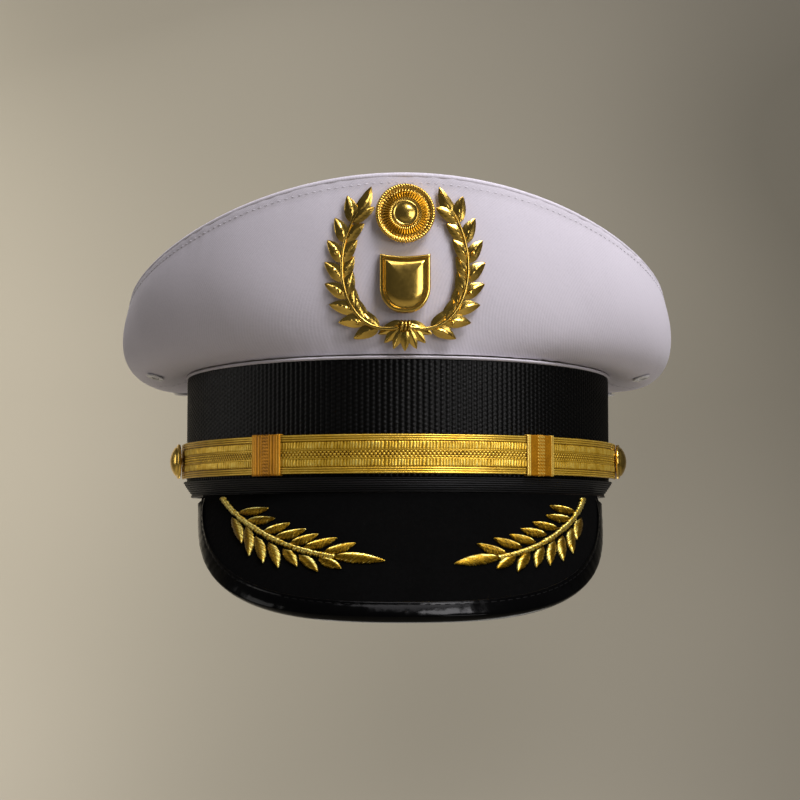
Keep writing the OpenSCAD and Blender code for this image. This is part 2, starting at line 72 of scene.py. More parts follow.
TOP_LO, TOP_HI = span("crown_top_panel")
ROLL_OUT = 1.004  # how far the CAD's top panel rolls past the rim
RIM_W = float(TOP_HI[0]) / ROLL_OUT
RIM_L = float(TOP_HI[1] - TOP_LO[1]) / 2 / ROLL_OUT
RIM_BACK = float(TOP_HI[1] + TOP_LO[1]) / 2
RIM_Z = (112.3, 77.3, 80.3)  # height of the rim at the front, the sides and the back
RIM_MEAN = (RIM_Z[0] + RIM_Z[2]) / 4 + RIM_Z[1] / 2
RIM_SADDLE = (RIM_Z[0] + RIM_Z[2]) / 4 - RIM_Z[1] / 2
RIM_THIRD = 0.9
RIM_TILT = (RIM_Z[0] - RIM_Z[2]) / 2 - RIM_THIRD
SEAM = math.radians(93)
BASE_OUT, BASE_UP = (4, 25.5, 24), (14, -11, -8)
RIM_OUT, RIM_DOWN = (1.5, 8.5, 8), (24, 19, 19)
EYELETS = [math.radians(75), math.radians(112)]
EYELET_T = 0.24
LINING_GAP = 6
RIM_ARC, SEAM_ARC, BAND_ARC = 112, 105, 95  # mean radii that turn an angle into a length

VISOR_W, VISOR_REACH, VISOR_DROP = 78.0, 33.0, 42.0
VISOR_Z, VISOR_SWELL, VISOR_CORNER, VISOR_TAPER = -0.3, 1.5, 3.5, 0.03
VISOR_END = math.radians(89.4)
BINDING = 5.5

STRAP_Z = WELT_TOP + 1.1
STRAP_W, STRAP_WALL, STRAP_BACK = 14.0, 0.7, 1.4
STRAP_FRONT = STRAP_BACK + 2 * STRAP_WALL
STRAP_MID = STRAP_Z + STRAP_W / 2
BUTTON_Y = -22.0
BUTTON_TILT = math.asin(-BUTTON_Y / SIDE_R)
BUTTON_X = SIDE_R * math.cos(BUTTON_TILT) - SHIFT
BUTTON_R, BUTTON_DOME = 7.0, 3.4
STRAP_TAIL = 7.0  # the strap runs this far past its button
STRAP_LAP, SLIDE_AT = math.radians(45), math.radians(40)

BADGE_Z, BADGE_H = 49.0, 60.0


# ---- Meshes ----
def unit(v):
    return v / np.maximum(np.linalg.norm(v, axis=-1, keepdims=True), 1e-12)


def vec(x, y, z):
    return np.stack(np.broadcast_arrays(x, y, z), -1).astype(float)


def quads(nu, nv, offset=0, flip=False, wrap=False):
    """Faces of a grid of nu by nv points, closed in v if wrap."""
    i = np.arange(nu - 1)[:, None]
    j = np.arange(nv if wrap else nv - 1)[None, :]
    k = (j + 1) % nv
    q = np.stack([i * nv + j, (i + 1) * nv + j, (i + 1) * nv + k, i * nv + k], -1).reshape(-1, 4)
    return (q[:, ::-1] if flip else q) + offset


def shell(outer, inner, wrap=False):
    """Closed solid between two grids of points; wrap closes them in v."""
    nu, nv = outer.shape[:2]
    n = nu * nv
    faces = [quads(nu, nv, 0, False, wrap), quads(nu, nv, n, True, wrap)]
    index = np.arange(n).reshape(nu, nv)
    edges = [(index[0], 0), (index[-1], 1)]
    if wrap:
        edges = [(np.append(e, e[0]), f) for e, f in edges]
    else:
        edges += [(index[:, 0], 1), (index[:, -1], 0)]
    for e, flip in edges:
        q = np.stack([e[:-1], e[1:], e[1:] + n, e[:-1] + n], -1)
        faces.append(q[:, ::-1] if flip else q)
    return np.concatenate([outer.reshape(-1, 3), inner.reshape(-1, 3)]), np.concatenate(faces)


def dome(outer, inner):
    """Closed solid between two lists of rings, each closed by its last small ring."""
    verts, faces = shell(outer, inner, wrap=True)
    nu, nv = outer.shape[:2]
    n = nu * nv
    last = np.arange((nu - 1) * nv, n)
    keep = ~((faces >= last[0]) & (faces <= last[-1]) | (faces >= last[0] + n)).all(1)
    return verts, faces[keep].tolist() + [last.tolist(), (last[::-1] + n).tolist()]


def tubes(paths, normals, thick, wide, sides=6, taper=None):
    """Many rods of one size. paths is (rods, points, 3); thick is along the normals."""
    m, n = paths.shape[:2]
    along = unit(np.gradient(paths, axis=1))
    up = unit(normals - (normals * along).sum(-1, keepdims=True) * along)
    side = np.cross(along, up)
    a = 2 * np.pi * np.arange(sides) / sides
    r = np.ones(n) if taper is None else taper
    ring = r[None, :, None, None] * (
        thick * np.cos(a)[:, None] * up[:, :, None] + wide * np.sin(a)[:, None] * side[:, :, None]
    )
    verts = (paths[:, :, None] + ring).reshape(-1, 3)
    base = (np.arange(m) * n * sides)[:, None, None]
    s = (np.arange(n - 1) * sides)[None, :, None]
    k = np.arange(sides)[None, None, :]
    l = (k + 1) % sides
    q = np.stack([base + s + k, base + s + l, base + s + sides + l, base + s + sides + k], -1)
    ends = np.arange(sides)[None, :] + (np.arange(m) * n * sides)[:, None]
    caps = ends[:, ::-1].tolist() + (ends + (n - 1) * sides).tolist()
    return verts, q.reshape(-1, 4).tolist() + caps


def revolve(profile, count=64):
    """Closed profile of (radius, height) points turned about Z."""
    p = np.array(profile, float)
    a = 2 * np.pi * np.arange(count + 1) / count
    ring = vec(p[None, :, 0] * np.cos(a)[:, None], p[None, :, 0] * np.sin(a)[:, None], p[None, :, 1])
    return ring.reshape(-1, 3), quads(count + 1, len(p), wrap=True)


def capped(rings, flip=False):
    """Closed solid of rings of points, with a face on its first ring and its last."""
    count, n = rings.shape[:2]
    first, last = list(range(n)), list(range((count - 1) * n, count * n))
    caps = [first[::-1], last] if flip else [first, last[::-1]]
    return rings.reshape(-1, 3), quads(count, n, wrap=True).tolist() + caps


def as_lists(faces):
    return faces.tolist() if hasattr(faces, "tolist") else faces


def merge(parts):
    verts, faces, n = [], [], 0
    for v, f in parts:
        verts.append(np.asarray(v, float))
        faces += [[k + n for k in face] for face in as_lists(f)]
        n += len(v)
    return np.concatenate(verts), faces


def piece(name, shape, material, nodes=(), body="cap", uv=None, tone=None, sharp=55):
    """Makes a mesh object from (points, faces), rides it on its body and gives it its material."""
    verts, faces = shape
    mesh = bpy.data.meshes.new(name)
    mesh.from_pydata((np.asarray(verts) * MM).tolist(), [], as_lists(faces))
    if uv is not None:
        layer = mesh.uv_layers.new(name="UVMap")
        index = np.empty(len(mesh.loops), np.int32)
        mesh.loops.foreach_get("vertex_index", index)
        layer.data.foreach_set("uv", np.asarray(uv, np.float32)[index].ravel())
    if tone is not None:
        attribute = mesh.attributes.new("tone", "FLOAT", "POINT")
        attribute.data.foreach_set("value", np.asarray(tone, np.float32).ravel())
    bm = bmesh.new()
    bm.from_mesh(mesh)
    bmesh.ops.remove_doubles(bm, verts=bm.verts, dist=1e-7)
    bmesh.ops.recalc_face_normals(bm, faces=bm.faces)
    bm.to_mesh(mesh)
    bm.free()
    mesh.polygons.foreach_set("use_smooth", [True] * len(mesh.polygons))
    mesh.set_sharp_from_angle(angle=math.radians(sharp))
    mesh.materials.append(material)
    obj = bpy.data.objects.new(name, mesh)
    bpy.context.scene.collection.objects.link(obj)
    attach(obj, body)
    if nodes:
        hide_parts(*nodes)
    return obj


# ---- Materials ----
SOCKETS = {
    "base": "Base Color",
    "rough": "Roughness",
    "metal": "Metallic",
    "spec": "Specular IOR Level",
    "sheen": "Sheen Weight",
    "sheen_rough": "Sheen Roughness",
    "through": "Transmission Weight",
    "ior": "IOR",
}


class Paint:
    """A node material whose constant values are set on its shader's own sockets."""

    def __init__(self, name, **values):
        self.material = bpy.data.materials.new(name)
        self.material.use_nodes = True
        self.tree = self.material.node_tree
        self.shader = self.tree.nodes["Principled BSDF"]
        for key, value in values.items():
            socket = self.shader.inputs[SOCKETS[key]]
            socket.default_value = (*value, 1) if key == "base" else value

    def node(self, kind, inputs=(), **props):
        node = self.tree.nodes.new("ShaderNode" + kind)
        for key, value in props.items():
            setattr(node, key, value)
        for key, value in dict(inputs).items():
            if isinstance(value, bpy.types.NodeSocket):
                self.tree.links.new(value, node.inputs[key])
            else:
                node.inputs[key].default_value = value
        return node

    def uv(self):
        return self.node("TexCoord").outputs["UV"]

    def place(self):
        return self.node("TexCoord").outputs["Object"]

    def tone(self):
        return self.node("Attribute", attribute_name="tone").outputs["Fac"]

    def scaled(self, vector, x, y, z=1.0, turn=0.0):
        values = {"Vector": vector, "Scale": (x, y, z), "Rotation": (0, 0, turn)}
        return self.node("Mapping", values).outputs["Vector"]

    def noise(self, vector, scale, detail=3.0, rough=0.55):
        values = {"Vector": vector, "Scale": scale, "Detail": detail, "Roughness": rough}
        return self.node("TexNoise", values).outputs["Fac"]

    def wave(self, vector, scale, distort=0.0):
        values = {"Vector": vector, "Scale": scale, "Distortion": distort, "Detail": 1.0, "Detail Scale": 1.5}
        return self.node("TexWave", values, wave_type="BANDS").outputs["Fac"]

    def cells(self, vector, scale):
        return self.node("TexVoronoi", {"Vector": vector, "Scale": scale}).outputs["Distance"]

    def math(self, kind, a, b):
        return self.node("Math", {0: a, 1: b}, operation=kind).outputs[0]

    def total(self, *terms):
        """Sum of sockets, each given as (socket, factor)."""
        result = None
        for socket, factor in terms:
            term = self.math("MULTIPLY", socket, factor)
            result = term if result is None else self.math("ADD", result, term)
        return result

    def range(self, fac, lo, hi):
        return self.node("MapRange", {"Value": fac, "To Min": lo, "To Max": hi}).outputs["Result"]

    def color(self, fac, *stops):
        """Colours the piece by a ramp along fac; stops are (position, colour)."""
        node = self.node("ValToRGB", {"Fac": fac})
        elements = node.color_ramp.elements
        while len(elements) < len(stops):
            elements.new(0.5)
        for element, (position, color) in zip(elements, stops):
            element.position = position
            element.color = (*color, 1)
        self.tree.links.new(node.outputs["Color"], self.shader.inputs["Base Color"])

    def shade(self, fac, color, *stops):
        """Colours the piece by shares of one colour; stops are (position, share)."""
        self.color(fac, *((position, tuple(c * share for c in color)) for position, share in stops))

    def rough(self, fac, lo, hi):
        self.tree.links.new(self.range(fac, lo, hi), self.shader.inputs["Roughness"])

    def bump(self, *layers):
        """layers are (height socket, depth in millimetres)."""
        normal = None
        for height, depth in layers:
            values = {"Height": height, "Strength": 1.0, "Distance": depth * MM}
            if normal is not None:
                values["Normal"] = normal
            normal = self.node("Bump", values).outputs["Normal"]
        self.tree.links.new(normal, self.shader.inputs["Normal"])


WAVE = math.pi / 10 / MM  # Wave texture scale for bands one millimetre apart
NEUTRAL = (1, 1, 1)


def twill_paint(name, color, pitch=0.85, deep=0.018):
    """Fine diagonal twill with slight soiling. The piece's UVs are metres on the cloth."""
    p = Paint(name, rough=0.86, sheen=0.15, sheen_rough=0.5, spec=0.2)
    uv = p.uv()
    ribs = p.wave(p.scaled(uv, 1, 1, 1, math.radians(50)), WAVE / pitch, 0.8)
    threads = p.wave(p.scaled(uv, 1, 1, 1, math.radians(-40)), WAVE / (pitch * 0.6), 1.2)
    mottle, fleck = p.noise(uv, 22, 5), p.noise(uv, 900, 2)
    p.shade(p.total((mottle, 0.55), (ribs, 0.12), (fleck, 0.28)), color, (0.2, 0.86), (0.5, 1), (0.85, 1.04))
    p.bump((ribs, deep), (threads, deep * 0.5), (fleck, deep * 1.6), (mottle, 0.35))
    return p.material


def fibre_paint(name, color, rough=0.9, fuzz=0.08, sheen=0.4, grain=700, spec=0.2):
    """Felted, threaded or moulded surface: mottled colour and fine hairs."""
    p = Paint(name, rough=rough, sheen=sheen, sheen_rough=0.4, spec=spec)
    at = p.place()
    fine, broad = p.noise(at, grain, 4, 0.7), p.noise(at, 60, 3)
    hairs = p.noise(p.scaled(at, 1, 0.25, 1, 0.6), grain * 1.6, 2)
    p.shade(p.total((fine, 0.6), (broad, 0.4)), color, (0.3, 0.55), (0.55, 1), (0.75, 1.5))
    p.bump((fine, fuzz), (hairs, fuzz))
    return p.material


def metal_paint(name, color, rough=0.25, dark=0.45, grain=0.01, scale=300):
    """Plated metal with cloudy tarnish and faint brushing."""
    p = Paint(name, metal=1.0)
    at = p.place()
    cloud, fine = p.noise(at, 45, 4), p.noise(at, scale, 3)
    p.shade(cloud, color, (0.3, dark), (0.6, 1), (0.8, 1.12))
    p.rough(fine, rough * 0.7, rough * 1.5)
    p.bump((fine, grain))
    return p.material


def thread_paint(name, dark, mid, light, rough, metal):
    """Metallic thread: colour from the tone attribute, which holds painted shade and painted highlights; fine
    twist in the bump.
    """
    p = Paint(name, metal=metal, spec=0.5)
    at = p.place()
    fine, patch = p.noise(at, 1500, 3), p.noise(at, 130, 3)
    fac = p.total((p.tone(), 0.8), (fine, 0.2), (p.math("SUBTRACT", patch, 0.5), 0.35))
    # The dark stop is painted shade and the light stop painted highlight, with random patches on top.
    p.color(fac, (0.12, dark), (0.5, mid), (0.88, light))
    p.rough(fine, rough * 0.75, rough * 1.4)
    p.bump((fine, 0.05))
    return p.material


def leather_paint(name, color, rough=0.5, grain=900, depth=0.06):
    p = Paint(name, rough=rough, spec=0.4)
    at = p.place()
    cell, cloud = p.cells(at, grain), p.noise(at, 50, 4)
    p.shade(cloud, color, (0.3, 0.7), (0.6, 1), (0.8, 1.2))
    p.rough(cell, rough * 0.8, rough * 1.25)
    p.bump((cell, depth), (cloud, 0.15))
    return p.material


def webbing_paint():
    p = Paint("black_webbing", spec=0.18)
    fine = p.noise(p.scaled(p.place(), 1, 1, 3), 1300, 3)
    # Colour follows the bead relief: painted shade between the beads, painted highlight on their tops.
    p.shade(p.tone(), NEUTRAL, (0.1, 0.0001), (0.6, 0.0005), (0.95, 0.003))
    p.rough(fine, 0.24, 0.5)
    p.bump((fine, 0.08))
    return p.material


def rib_paint():
    p = Paint("black_rib", rough=0.55, spec=0.22)
    dark, mid, light = (0.0004, 0.0004, 0.0004), (0.003, 0.003, 0.003), (0.014, 0.014, 0.015)
    # Colour follows the rib section: painted highlight on the crests, painted shade on the flanks and in the
    # grooves.
    p.color(p.tone(), (0.1, dark), (0.6, mid), (0.95, light))
    p.bump((p.noise(p.place(), 1400, 3), 0.08))
    return p.material


def patent_paint():
    p = Paint("black_patent", base=(0.001, 0.001, 0.0011), spec=0.09)
    at = p.place()
    fine, broad = p.noise(at, 420, 3), p.noise(at, 90, 3)
    p.rough(fine, 0.08, 0.24)
    p.bump((fine, 0.02), (broad, 0.25))
    return p.material


def satin_paint():
    p = Paint("satin_lining", rough=0.38, sheen=0.3, sheen_rough=0.3, spec=0.4)
    p.color(p.noise(p.place(), 30, 4), (0.3, (0.50, 0.49, 0.48)), (0.7, (0.66, 0.65, 0.63)))
    p.bump((p.wave(p.uv(), WAVE / 0.5, 0.5), 0.03))
    return p.material


def vinyl_paint():
    p = Paint("clear_vinyl", base=(0.93, 0.94, 0.95), rough=0.12, through=1.0, ior=1.15, spec=0.5)
    fine = p.noise(p.place(), 40, 4)
    p.rough(fine, 0.05, 0.16)
    p.bump((fine, 0.6))
    return p.material


white_twill = twill_paint("white_twill", (0.67, 0.635, 0.71))
white_fold = twill_paint("white_piping", (0.66, 0.63, 0.69), 0.6, 0.03)
white_thread = fibre_paint("white_thread", (0.66, 0.63, 0.70), 0.7, 0.03, 0.2, 1500)
black_thread = fibre_paint("black_thread", (0.003, 0.003, 0.003), 0.6, 0.02, 0.0, 1500, 0.08)
tan_thread = fibre_paint("tan_thread", (0.45, 0.28, 0.14), 0.6, 0.03, 0.2, 1500)
wool = fibre_paint("black_wool", (0.0015, 0.0015, 0.0015), 0.95, 0.18, 0.004, 520, 0.04)
felt = fibre_paint("grey_felt", (0.09, 0.09, 0.095), 0.95, 0.15, 0.5, 500)
ribbon = fibre_paint("bow_ribbon", (0.010, 0.010, 0.012), 0.55, 0.03, 0.3, 1200)
board = fibre_paint("band_board", (0.20, 0.13, 0.075), 0.8, 0.06, 0.0, 350)
visor_board = fibre_paint("visor_board", (0.16, 0.10, 0.06), 0.8, 0.06, 0.0, 350)
plastic = fibre_paint("stay_plastic", (0.62, 0.61, 0.57), 0.45, 0.01, 0.0, 200)
enamel = fibre_paint("white_enamel", (0.74, 0.73, 0.74), 0.22, 0.004, 0.0, 300)
gilt = metal_paint("gilt_metal", (0.90, 0.60, 0.13), 0.2, 0.5, 0.02, 700)
brass = metal_paint("plain_brass", (0.72, 0.50, 0.20), 0.35, 0.6, 0.02)
steel = metal_paint("spring_steel", (0.42, 0.42, 0.43), 0.35, 0.6, 0.02)
nickel = metal_paint("nickel_steel", (0.60, 0.58, 0.54), 0.3, 0.7, 0.02)
lace = thread_paint("gold_lace", (0.09, 0.036, 0.001), (0.80, 0.46, 0.022), (1.0, 0.80, 0.19), 0.34, 0.65)
slide_lace = thread_paint(
    "gold_lace_slide", (0.10, 0.034, 0.001), (0.76, 0.32, 0.008), (1.0, 0.76, 0.17), 0.34, 0.6
)
bullion = thread_paint(
    "gold_bullion", (0.12, 0.060, 0.001), (0.58, 0.35, 0.020), (1.0, 0.88, 0.27), 0.27, 0.85
)
reed = leather_paint("dark_reed", (0.02, 0.012, 0.008), 0.55, 900)
sweat_leather = leather_paint("sweat_leather", (0.24, 0.115, 0.05), 0.5, 700)
leatherette = leather_paint("black_leatherette", (0.012, 0.012, 0.013), 0.42, 800, 0.09)
webbing, ribs, patent, satin, vinyl = (
    webbing_paint(), rib_paint(), patent_paint(), satin_paint(), vinyl_paint()
)


# ---- Surfaces ----
def oval(a, d=0.0):
    """Points of the band's outline where its normal turns by a from the front, d outside it."""
    nx, ny = np.sin(a), -np.cos(a)
    end = np.abs(nx) <= math.sqrt(0.5)
    x = np.where(end, (END_R + d) * nx, (SIDE_R + d) * nx - np.sign(nx) * SHIFT)
    y = np.where(end, (END_R + d) * ny + np.sign(ny) * SHIFT, (SIDE_R + d) * ny)
    return x, y


QUARTER = math.pi / 4


def length_at(a, d=0.0):
    """Arc length along the outline from the front, for a from -180 to 180 degrees."""
    e, s = END_R + d, SIDE_R + d
    b = np.abs(a)
    out = np.minimum(b, QUARTER) * e + np.clip(b - QUARTER, 0, 2 * QUARTER) * s
    return np.sign(a) * (out + np.clip(b - 3 * QUARTER, 0, QUARTER) * e)


def angle_at(s, d=0.0):
    e, w = (END_R + d) * QUARTER, (SIDE_R + d) * 2 * QUARTER
    b = np.abs(s)
    out = np.minimum(b, e) / (END_R + d) + np.clip(b - e, 0, w) / (SIDE_R + d)
    return np.sign(s) * (out + np.clip(b - e - w, 0, e) / (END_R + d))


def wall(a, d, z):
    return vec(*oval(np.asarray(a, float), np.asarray(d, float)), z)


def wall_normal(a):
    return vec(np.sin(a), -np.cos(a), 0 * np.asarray(a, float))


def blend3(v, a):
    c = np.cos(a)
    return v[1] * (1 - c * c) + np.where(c > 0, v[0], v[2]) * c * c


def rim_pt(a, r=1.0):
    """Points of the top panel: r is 1 at the rim and 0 in the middle."""
    z = RIM_MEAN + RIM_TILT * r * np.cos(a) + RIM_SADDLE * r**2 * np.cos(2 * a)
    return vec(RIM_W * r * np.sin(a), RIM_BACK - RIM_L * r * np.cos(a), z + RIM_THIRD * r**3 * np.cos(3 * a))


def rim_normal(a):
    return unit(vec(np.sin(a) / RIM_W, -np.cos(a) / RIM_L, 0 * a))


def side_pt(a, t):
    """Points of the crown's side panels, t from 0 at the band to 1 at the rim."""
    a, t = np.broadcast_arrays(np.asarray(a, float), np.asarray(t, float))
    b = wall(np.arctan2(HALF_L * np.sin(a), HALF_W * np.cos(a)), -BAND_WALL, BASE_Z)
    rim, n, t = rim_pt(a), rim_normal(a), t[..., None]
    p1 = b + blend3(BASE_OUT, a)[..., None] * n + blend3(BASE_UP, a)[..., None] * UP
    p2 = rim + blend3(RIM_OUT, a)[..., None] * n - blend3(RIM_DOWN, a)[..., None] * UP
    return (1 - t) ** 3 * b + 3 * (1 - t) ** 2 * t * p1 + 3 * (1 - t) * t * t * p2 + t**3 * rim


def side_normal(a, t):
    e = 0.008
    da = side_pt(a + e, t) - side_pt(a - e, t)
    dt = side_pt(a, np.minimum(t + e, 1)) - side_pt(a, np.maximum(t - e, 0))
    return unit(np.cross(da, dt))


def side_at(a, t, d=0.0):
    return side_pt(a, t) + np.asarray(d)[..., None] * side_normal(a, t)


def band_y(x, d):
    x = np.abs(x)
    end = -SHIFT - np.sqrt(np.maximum((END_R + d) ** 2 - x**2, 0))
    return np.where(x < (END_R + d) * math.sqrt(0.5), end, -np.sqrt((SIDE_R + d) ** 2 - (x + SHIFT) ** 2))


def visor_root(a):
    x = (VISOR_W - 1.5) * np.sin(a)
    return vec(x, band_y(x, -0.6), VISOR_Z)


def visor_lip(a):
    fall = np.maximum(1 - np.abs(np.sin(a)) ** VISOR_CORNER, 0) ** (1 / VISOR_CORNER)
    root_y = float(band_y(VISOR_W, 0))
    return vec(VISOR_W * np.sin(a) * (1 - VISOR_TAPER * fall),
               root_y - (HALF_L + VISOR_REACH + root_y) * np.cos(a), -VISOR_DROP * fall)


def visor_pt(a, v):
    a, v = np.broadcast_arrays(np.asarray(a, float), np.asarray(v, float))
    root, lip = visor_root(a), visor_lip(a)
    fall = lip - root
    out = unit(vec(0 * a, fall[..., 2], -fall[..., 1]))
    v = v[..., None]
    return root + (lip - root) * v + VISOR_SWELL * np.sin(np.pi * v) * np.cos(a)[..., None] * out


def visor_normal(a, v):
    e = 0.01
    dv = visor_pt(a, np.minimum(v + e, 1)) - visor_pt(a, np.maximum(v - e, 0))
    return unit(np.cross(dv, visor_pt(a + e, v) - visor_pt(a - e, v)))


def visor_at(a, v, d=0.0):
    return visor_pt(a, v) + np.asarray(d)[..., None] * visor_normal(a, v)


def visor_face(x, q, d=0.0):
    """Point and normal x from the visor's middle and q down its face."""
    a = np.arcsin(x / (VISOR_W - 0.75))
    v = q / np.linalg.norm(visor_lip(a) - visor_root(a), axis=-1)
    return visor_at(a, v, np.broadcast_to(d, np.shape(a))), visor_normal(a, v)


def run(points, axis=0):
    """Length so far along each line of points."""
    step = np.linalg.norm(np.diff(points, axis=axis), axis=-1)
    return np.concatenate([np.zeros_like(step.take([0], axis)), np.cumsum(step, axis)], axis)


def even(f, lo, hi, count, dense=4000):
    """count parameters at even steps along the curve f."""
    a = np.linspace(lo, hi, dense)
    length = run(f(a))
    return np.interp(np.linspace(0, length[-1], count), length, a)


def circle(count):
    return np.linspace(0, 2 * np.pi, count, endpoint=False)


def ripple(x, y, seed, count=5, low=0.5, high=2.0):
    """Smooth noise of about -1 to 1, from a few sine waves."""
    r = np.random.default_rng(seed)
    total = 0
    for _ in range(count):
        k, turn, phase = r.uniform(low, high), r.uniform(0, math.pi), r.uniform(0, 2 * math.pi)
        total = total + np.sin(k * (x * math.cos(turn) + y * math.sin(turn)) + phase)
    return total / count * 1.6


def cloth_uv(points):
    """Metres along each way of a grid of points, for both of its shell's layers."""
    uv = (np.stack([run(points, 0), run(points, 1)], -1) * MM).reshape(-1, 2)
    return np.concatenate([uv, uv])


def bell(x, width):
    return np.exp(-((x / width) ** 2))


# ---- Crown ----
STITCH, SEAM_STITCH = 2.6, 2.4  # the topstitch's distance from the rim and from a seam
CLOTH_STEP, CLOTH_ROWS = 1.15, 62
HOLE_R = 2.1


def crown_offset(a, t):
    """How far the cloth stands off the design surface: seam ridges, puckers and soft folds."""
    p = side_pt(a, t)
    rim_gap = np.linalg.norm(side_pt(a, np.ones_like(t)) - p, axis=-1)
    base_gap = np.linalg.norm(side_pt(a, np.zeros_like(t)) - p, axis=-1)
    seam_gap = np.minimum(np.abs(np.abs(a) - SEAM), np.abs(np.abs(a) - math.pi)) * SEAM_ARC
    along = a * RIM_ARC
    ridge = 0.3 / (1 + np.exp((rim_gap - STITCH - 0.6) / 0.25))
    stitches = 0.30 * bell(rim_gap - STITCH, 0.4) + 0.14 * bell(seam_gap - SEAM_STITCH, 0.4)
    seams = 0.45 * bell(seam_gap, 0.7)
    puckers = (
        0.16 * ripple(along, rim_gap * 0.2, 3, 7, 0.5, 1.6) * np.exp(-rim_gap / 4.5)
        + 0.20 * ripple(along, base_gap * 0.2, 4, 7, 0.3, 1.1) * np.exp(-base_gap / 6)
        + 0.18 * ripple(p[..., 2], along * 0.1, 5, 6, 0.4, 1.2) * np.exp(-seam_gap / 5)
    )
    folds = 0.6 * ripple(along, p[..., 2] * 1.2, 6, 6, 0.04, 0.15) * np.sin(np.pi * t) ** 0.7
    return ridge - stitches - seams + puckers + folds


def punched(obj, spots, radius):
    """Cuts round holes through a cloth piece."""
    cutters = []
    for point, normal in spots:
        bpy.ops.mesh.primitive_cylinder_add(vertices=32, radius=radius * MM, depth=8 * MM)
        cutter = bpy.context.object
        turn = Vector(normal).to_track_quat("Z", "Y").to_matrix().to_4x4()
        cutter.matrix_world = Matrix.Translation(Vector(point * MM)) @ turn
        cutters.append(cutter)
        cut = obj.modifiers.new("hole", "BOOLEAN")
        cut.object, cut.operation, cut.solver = cutter, "DIFFERENCE", "EXACT"
    bpy.context.view_layer.update()
    mesh = bpy.data.meshes.new_from_object(obj.evaluated_get(bpy.context.evaluated_depsgraph_get()))
    obj.modifiers.clear()
    old, obj.data = obj.data, mesh
    bpy.data.meshes.remove(old)
    for cutter in cutters:
        bpy.data.objects.remove(cutter)


def eyelet_spots(a0, a1):
    """Points and normals of the eyelets between two angles."""
    spots = []
    for a in [-a for a in EYELETS] + EYELETS:
        if a0 < a < a1:
            at = np.array([a])
            spots.append((side_pt(at, EYELET_T)[0], side_normal(at, EYELET_T)[0]))
    return spots


def crown_panel(name, a0, a1, node):
    columns = np.linspace(a0, a1, int(abs(a1 - a0) * RIM_ARC / CLOTH_STEP))[:, None]
    rows = even(lambda t: side_pt(np.full_like(t, (a0 + a1) / 2), t), 0, 1, CLOTH_ROWS)[None, :]
    a, t = np.broadcast_arrays(columns, rows)
    offset = crown_offset(a, t)
    outer, inner = side_at(a, t, offset), side_at(a, t, offset * 0.5 - CLOTH)
    obj = piece(name, shell(outer, inner), white_twill, [node], uv=cloth_uv(outer))
    punched(obj, eyelet_spots(a0, a1), HOLE_R)
    return obj


front_panel = crown_panel("crown_front_cloth", -SEAM, SEAM, "crown_front_panel")
left_panel = crown_panel("crown_quarter_left_cloth", SEAM, math.pi, "crown_quarter_left")
right_panel = crown_panel("crown_quarter_right_cloth", -math.pi, -SEAM, "crown_quarter_right")


def crown_top():
    """Stretched oval whose edge rolls down over the side panels."""
    angles = circle(420)
    roll = [(-0.55, -0.75), (0.05, -0.85), (0.42, -0.5), (0.5, 0.0), (0.36, 0.5), (0.05, 0.85),
            (-0.5, 1.05), (-1.2, 1.1)]
    outer = [rim_pt(angles) + out * rim_normal(angles) + (up + 0.1) * UP for out, up in roll]
    for r in np.linspace(0.975, 0.012, 64):
        edge = (1 - r) * RIM_ARC
        pucker = 0.2 * ripple(angles * RIM_ARC, 0 * angles, 11, 8, 0.25, 1.2) * math.exp(-edge / 7)
        soft = 0.5 * ripple(angles * 10, r * 6 + 0 * angles, 12, 5, 0.4, 1.0) * (1 - r) ** 0.5 * r
        dip = -0.35 * bell(edge - 2.0, 1.2)
        outer.append(rim_pt(angles, r) + (1.1 + pucker + soft + dip)[:, None] * UP)
    outer = np.array(outer)
    inner = outer - 0.85 * UP
    for k in range(len(roll)):
        down = 0.02 * (len(roll) - k)
        inner[k] = rim_pt(angles) - (1.5 + 0.15 * k) * rim_normal(angles) - down * UP
    flat = np.concatenate([outer.reshape(-1, 3)[:, :2]] * 2) * MM
    return piece("crown_top_cloth", dome(outer, inner), white_twill, ["crown_top_panel"],
                 uv=flat)


top_panel = crown_top()


def stitch_row(points, normals, length, gap, thick, wide, lift, sag=0.16):
    """Short threads along a line: each starts and ends in the cloth."""
    s = run(points)
    count = int(s[-1] / (length + gap))
    starts = (np.arange(count) + 0.5) * (s[-1] / count) - length / 2
    local = np.linspace(0, length, 7)
    at = starts[:, None] + local[None, :]

    def look(values):
        return np.stack([np.interp(at, s, values[:, k]) for k in range(3)], -1)

    n = unit(look(normals))
    rise = lift * np.sin(np.pi * local / length) ** 0.6 - sag
    return tubes(look(points) + rise[None, :, None] * n, n, thick, wide, 6)


def crown_topstitch():
    """One row below the rim on each panel, and one on each side of each seam."""
    rows, end = [], math.radians(1.0)
    for a0, a1 in ((-SEAM, SEAM), (SEAM, math.pi), (-math.pi, -SEAM)):
        a, t = np.linspace(a0 + end, a1 - end, 700), np.linspace(0.8, 1, 80)
        grid = side_pt(a[:, None], t[None, :])
        gaps = np.linalg.norm(grid - grid[:, -1:], axis=-1)
        t = np.array([np.interp(STITCH, gap[::-1], t[::-1]) for gap in gaps])
        line = side_at(a, t, crown_offset(a, t))
        rows.append(stitch_row(line, side_normal(a, t), 1.9, 0.85, 0.17, 0.24, 0.34))
    for seam in (SEAM, -SEAM, math.pi):
        for shift in (-SEAM_STITCH, SEAM_STITCH):
            t = np.linspace(0.02, 0.93, 200)
            a = np.full_like(t, seam + shift / SEAM_ARC)
            line = side_at(a, t, crown_offset(a, t))
            rows.append(stitch_row(line, side_normal(a, t), 2.0, 0.75, 0.14, 0.19, 0.24))
    return piece("crown_topstitch", merge(rows), white_thread)


topstitch = crown_topstitch()


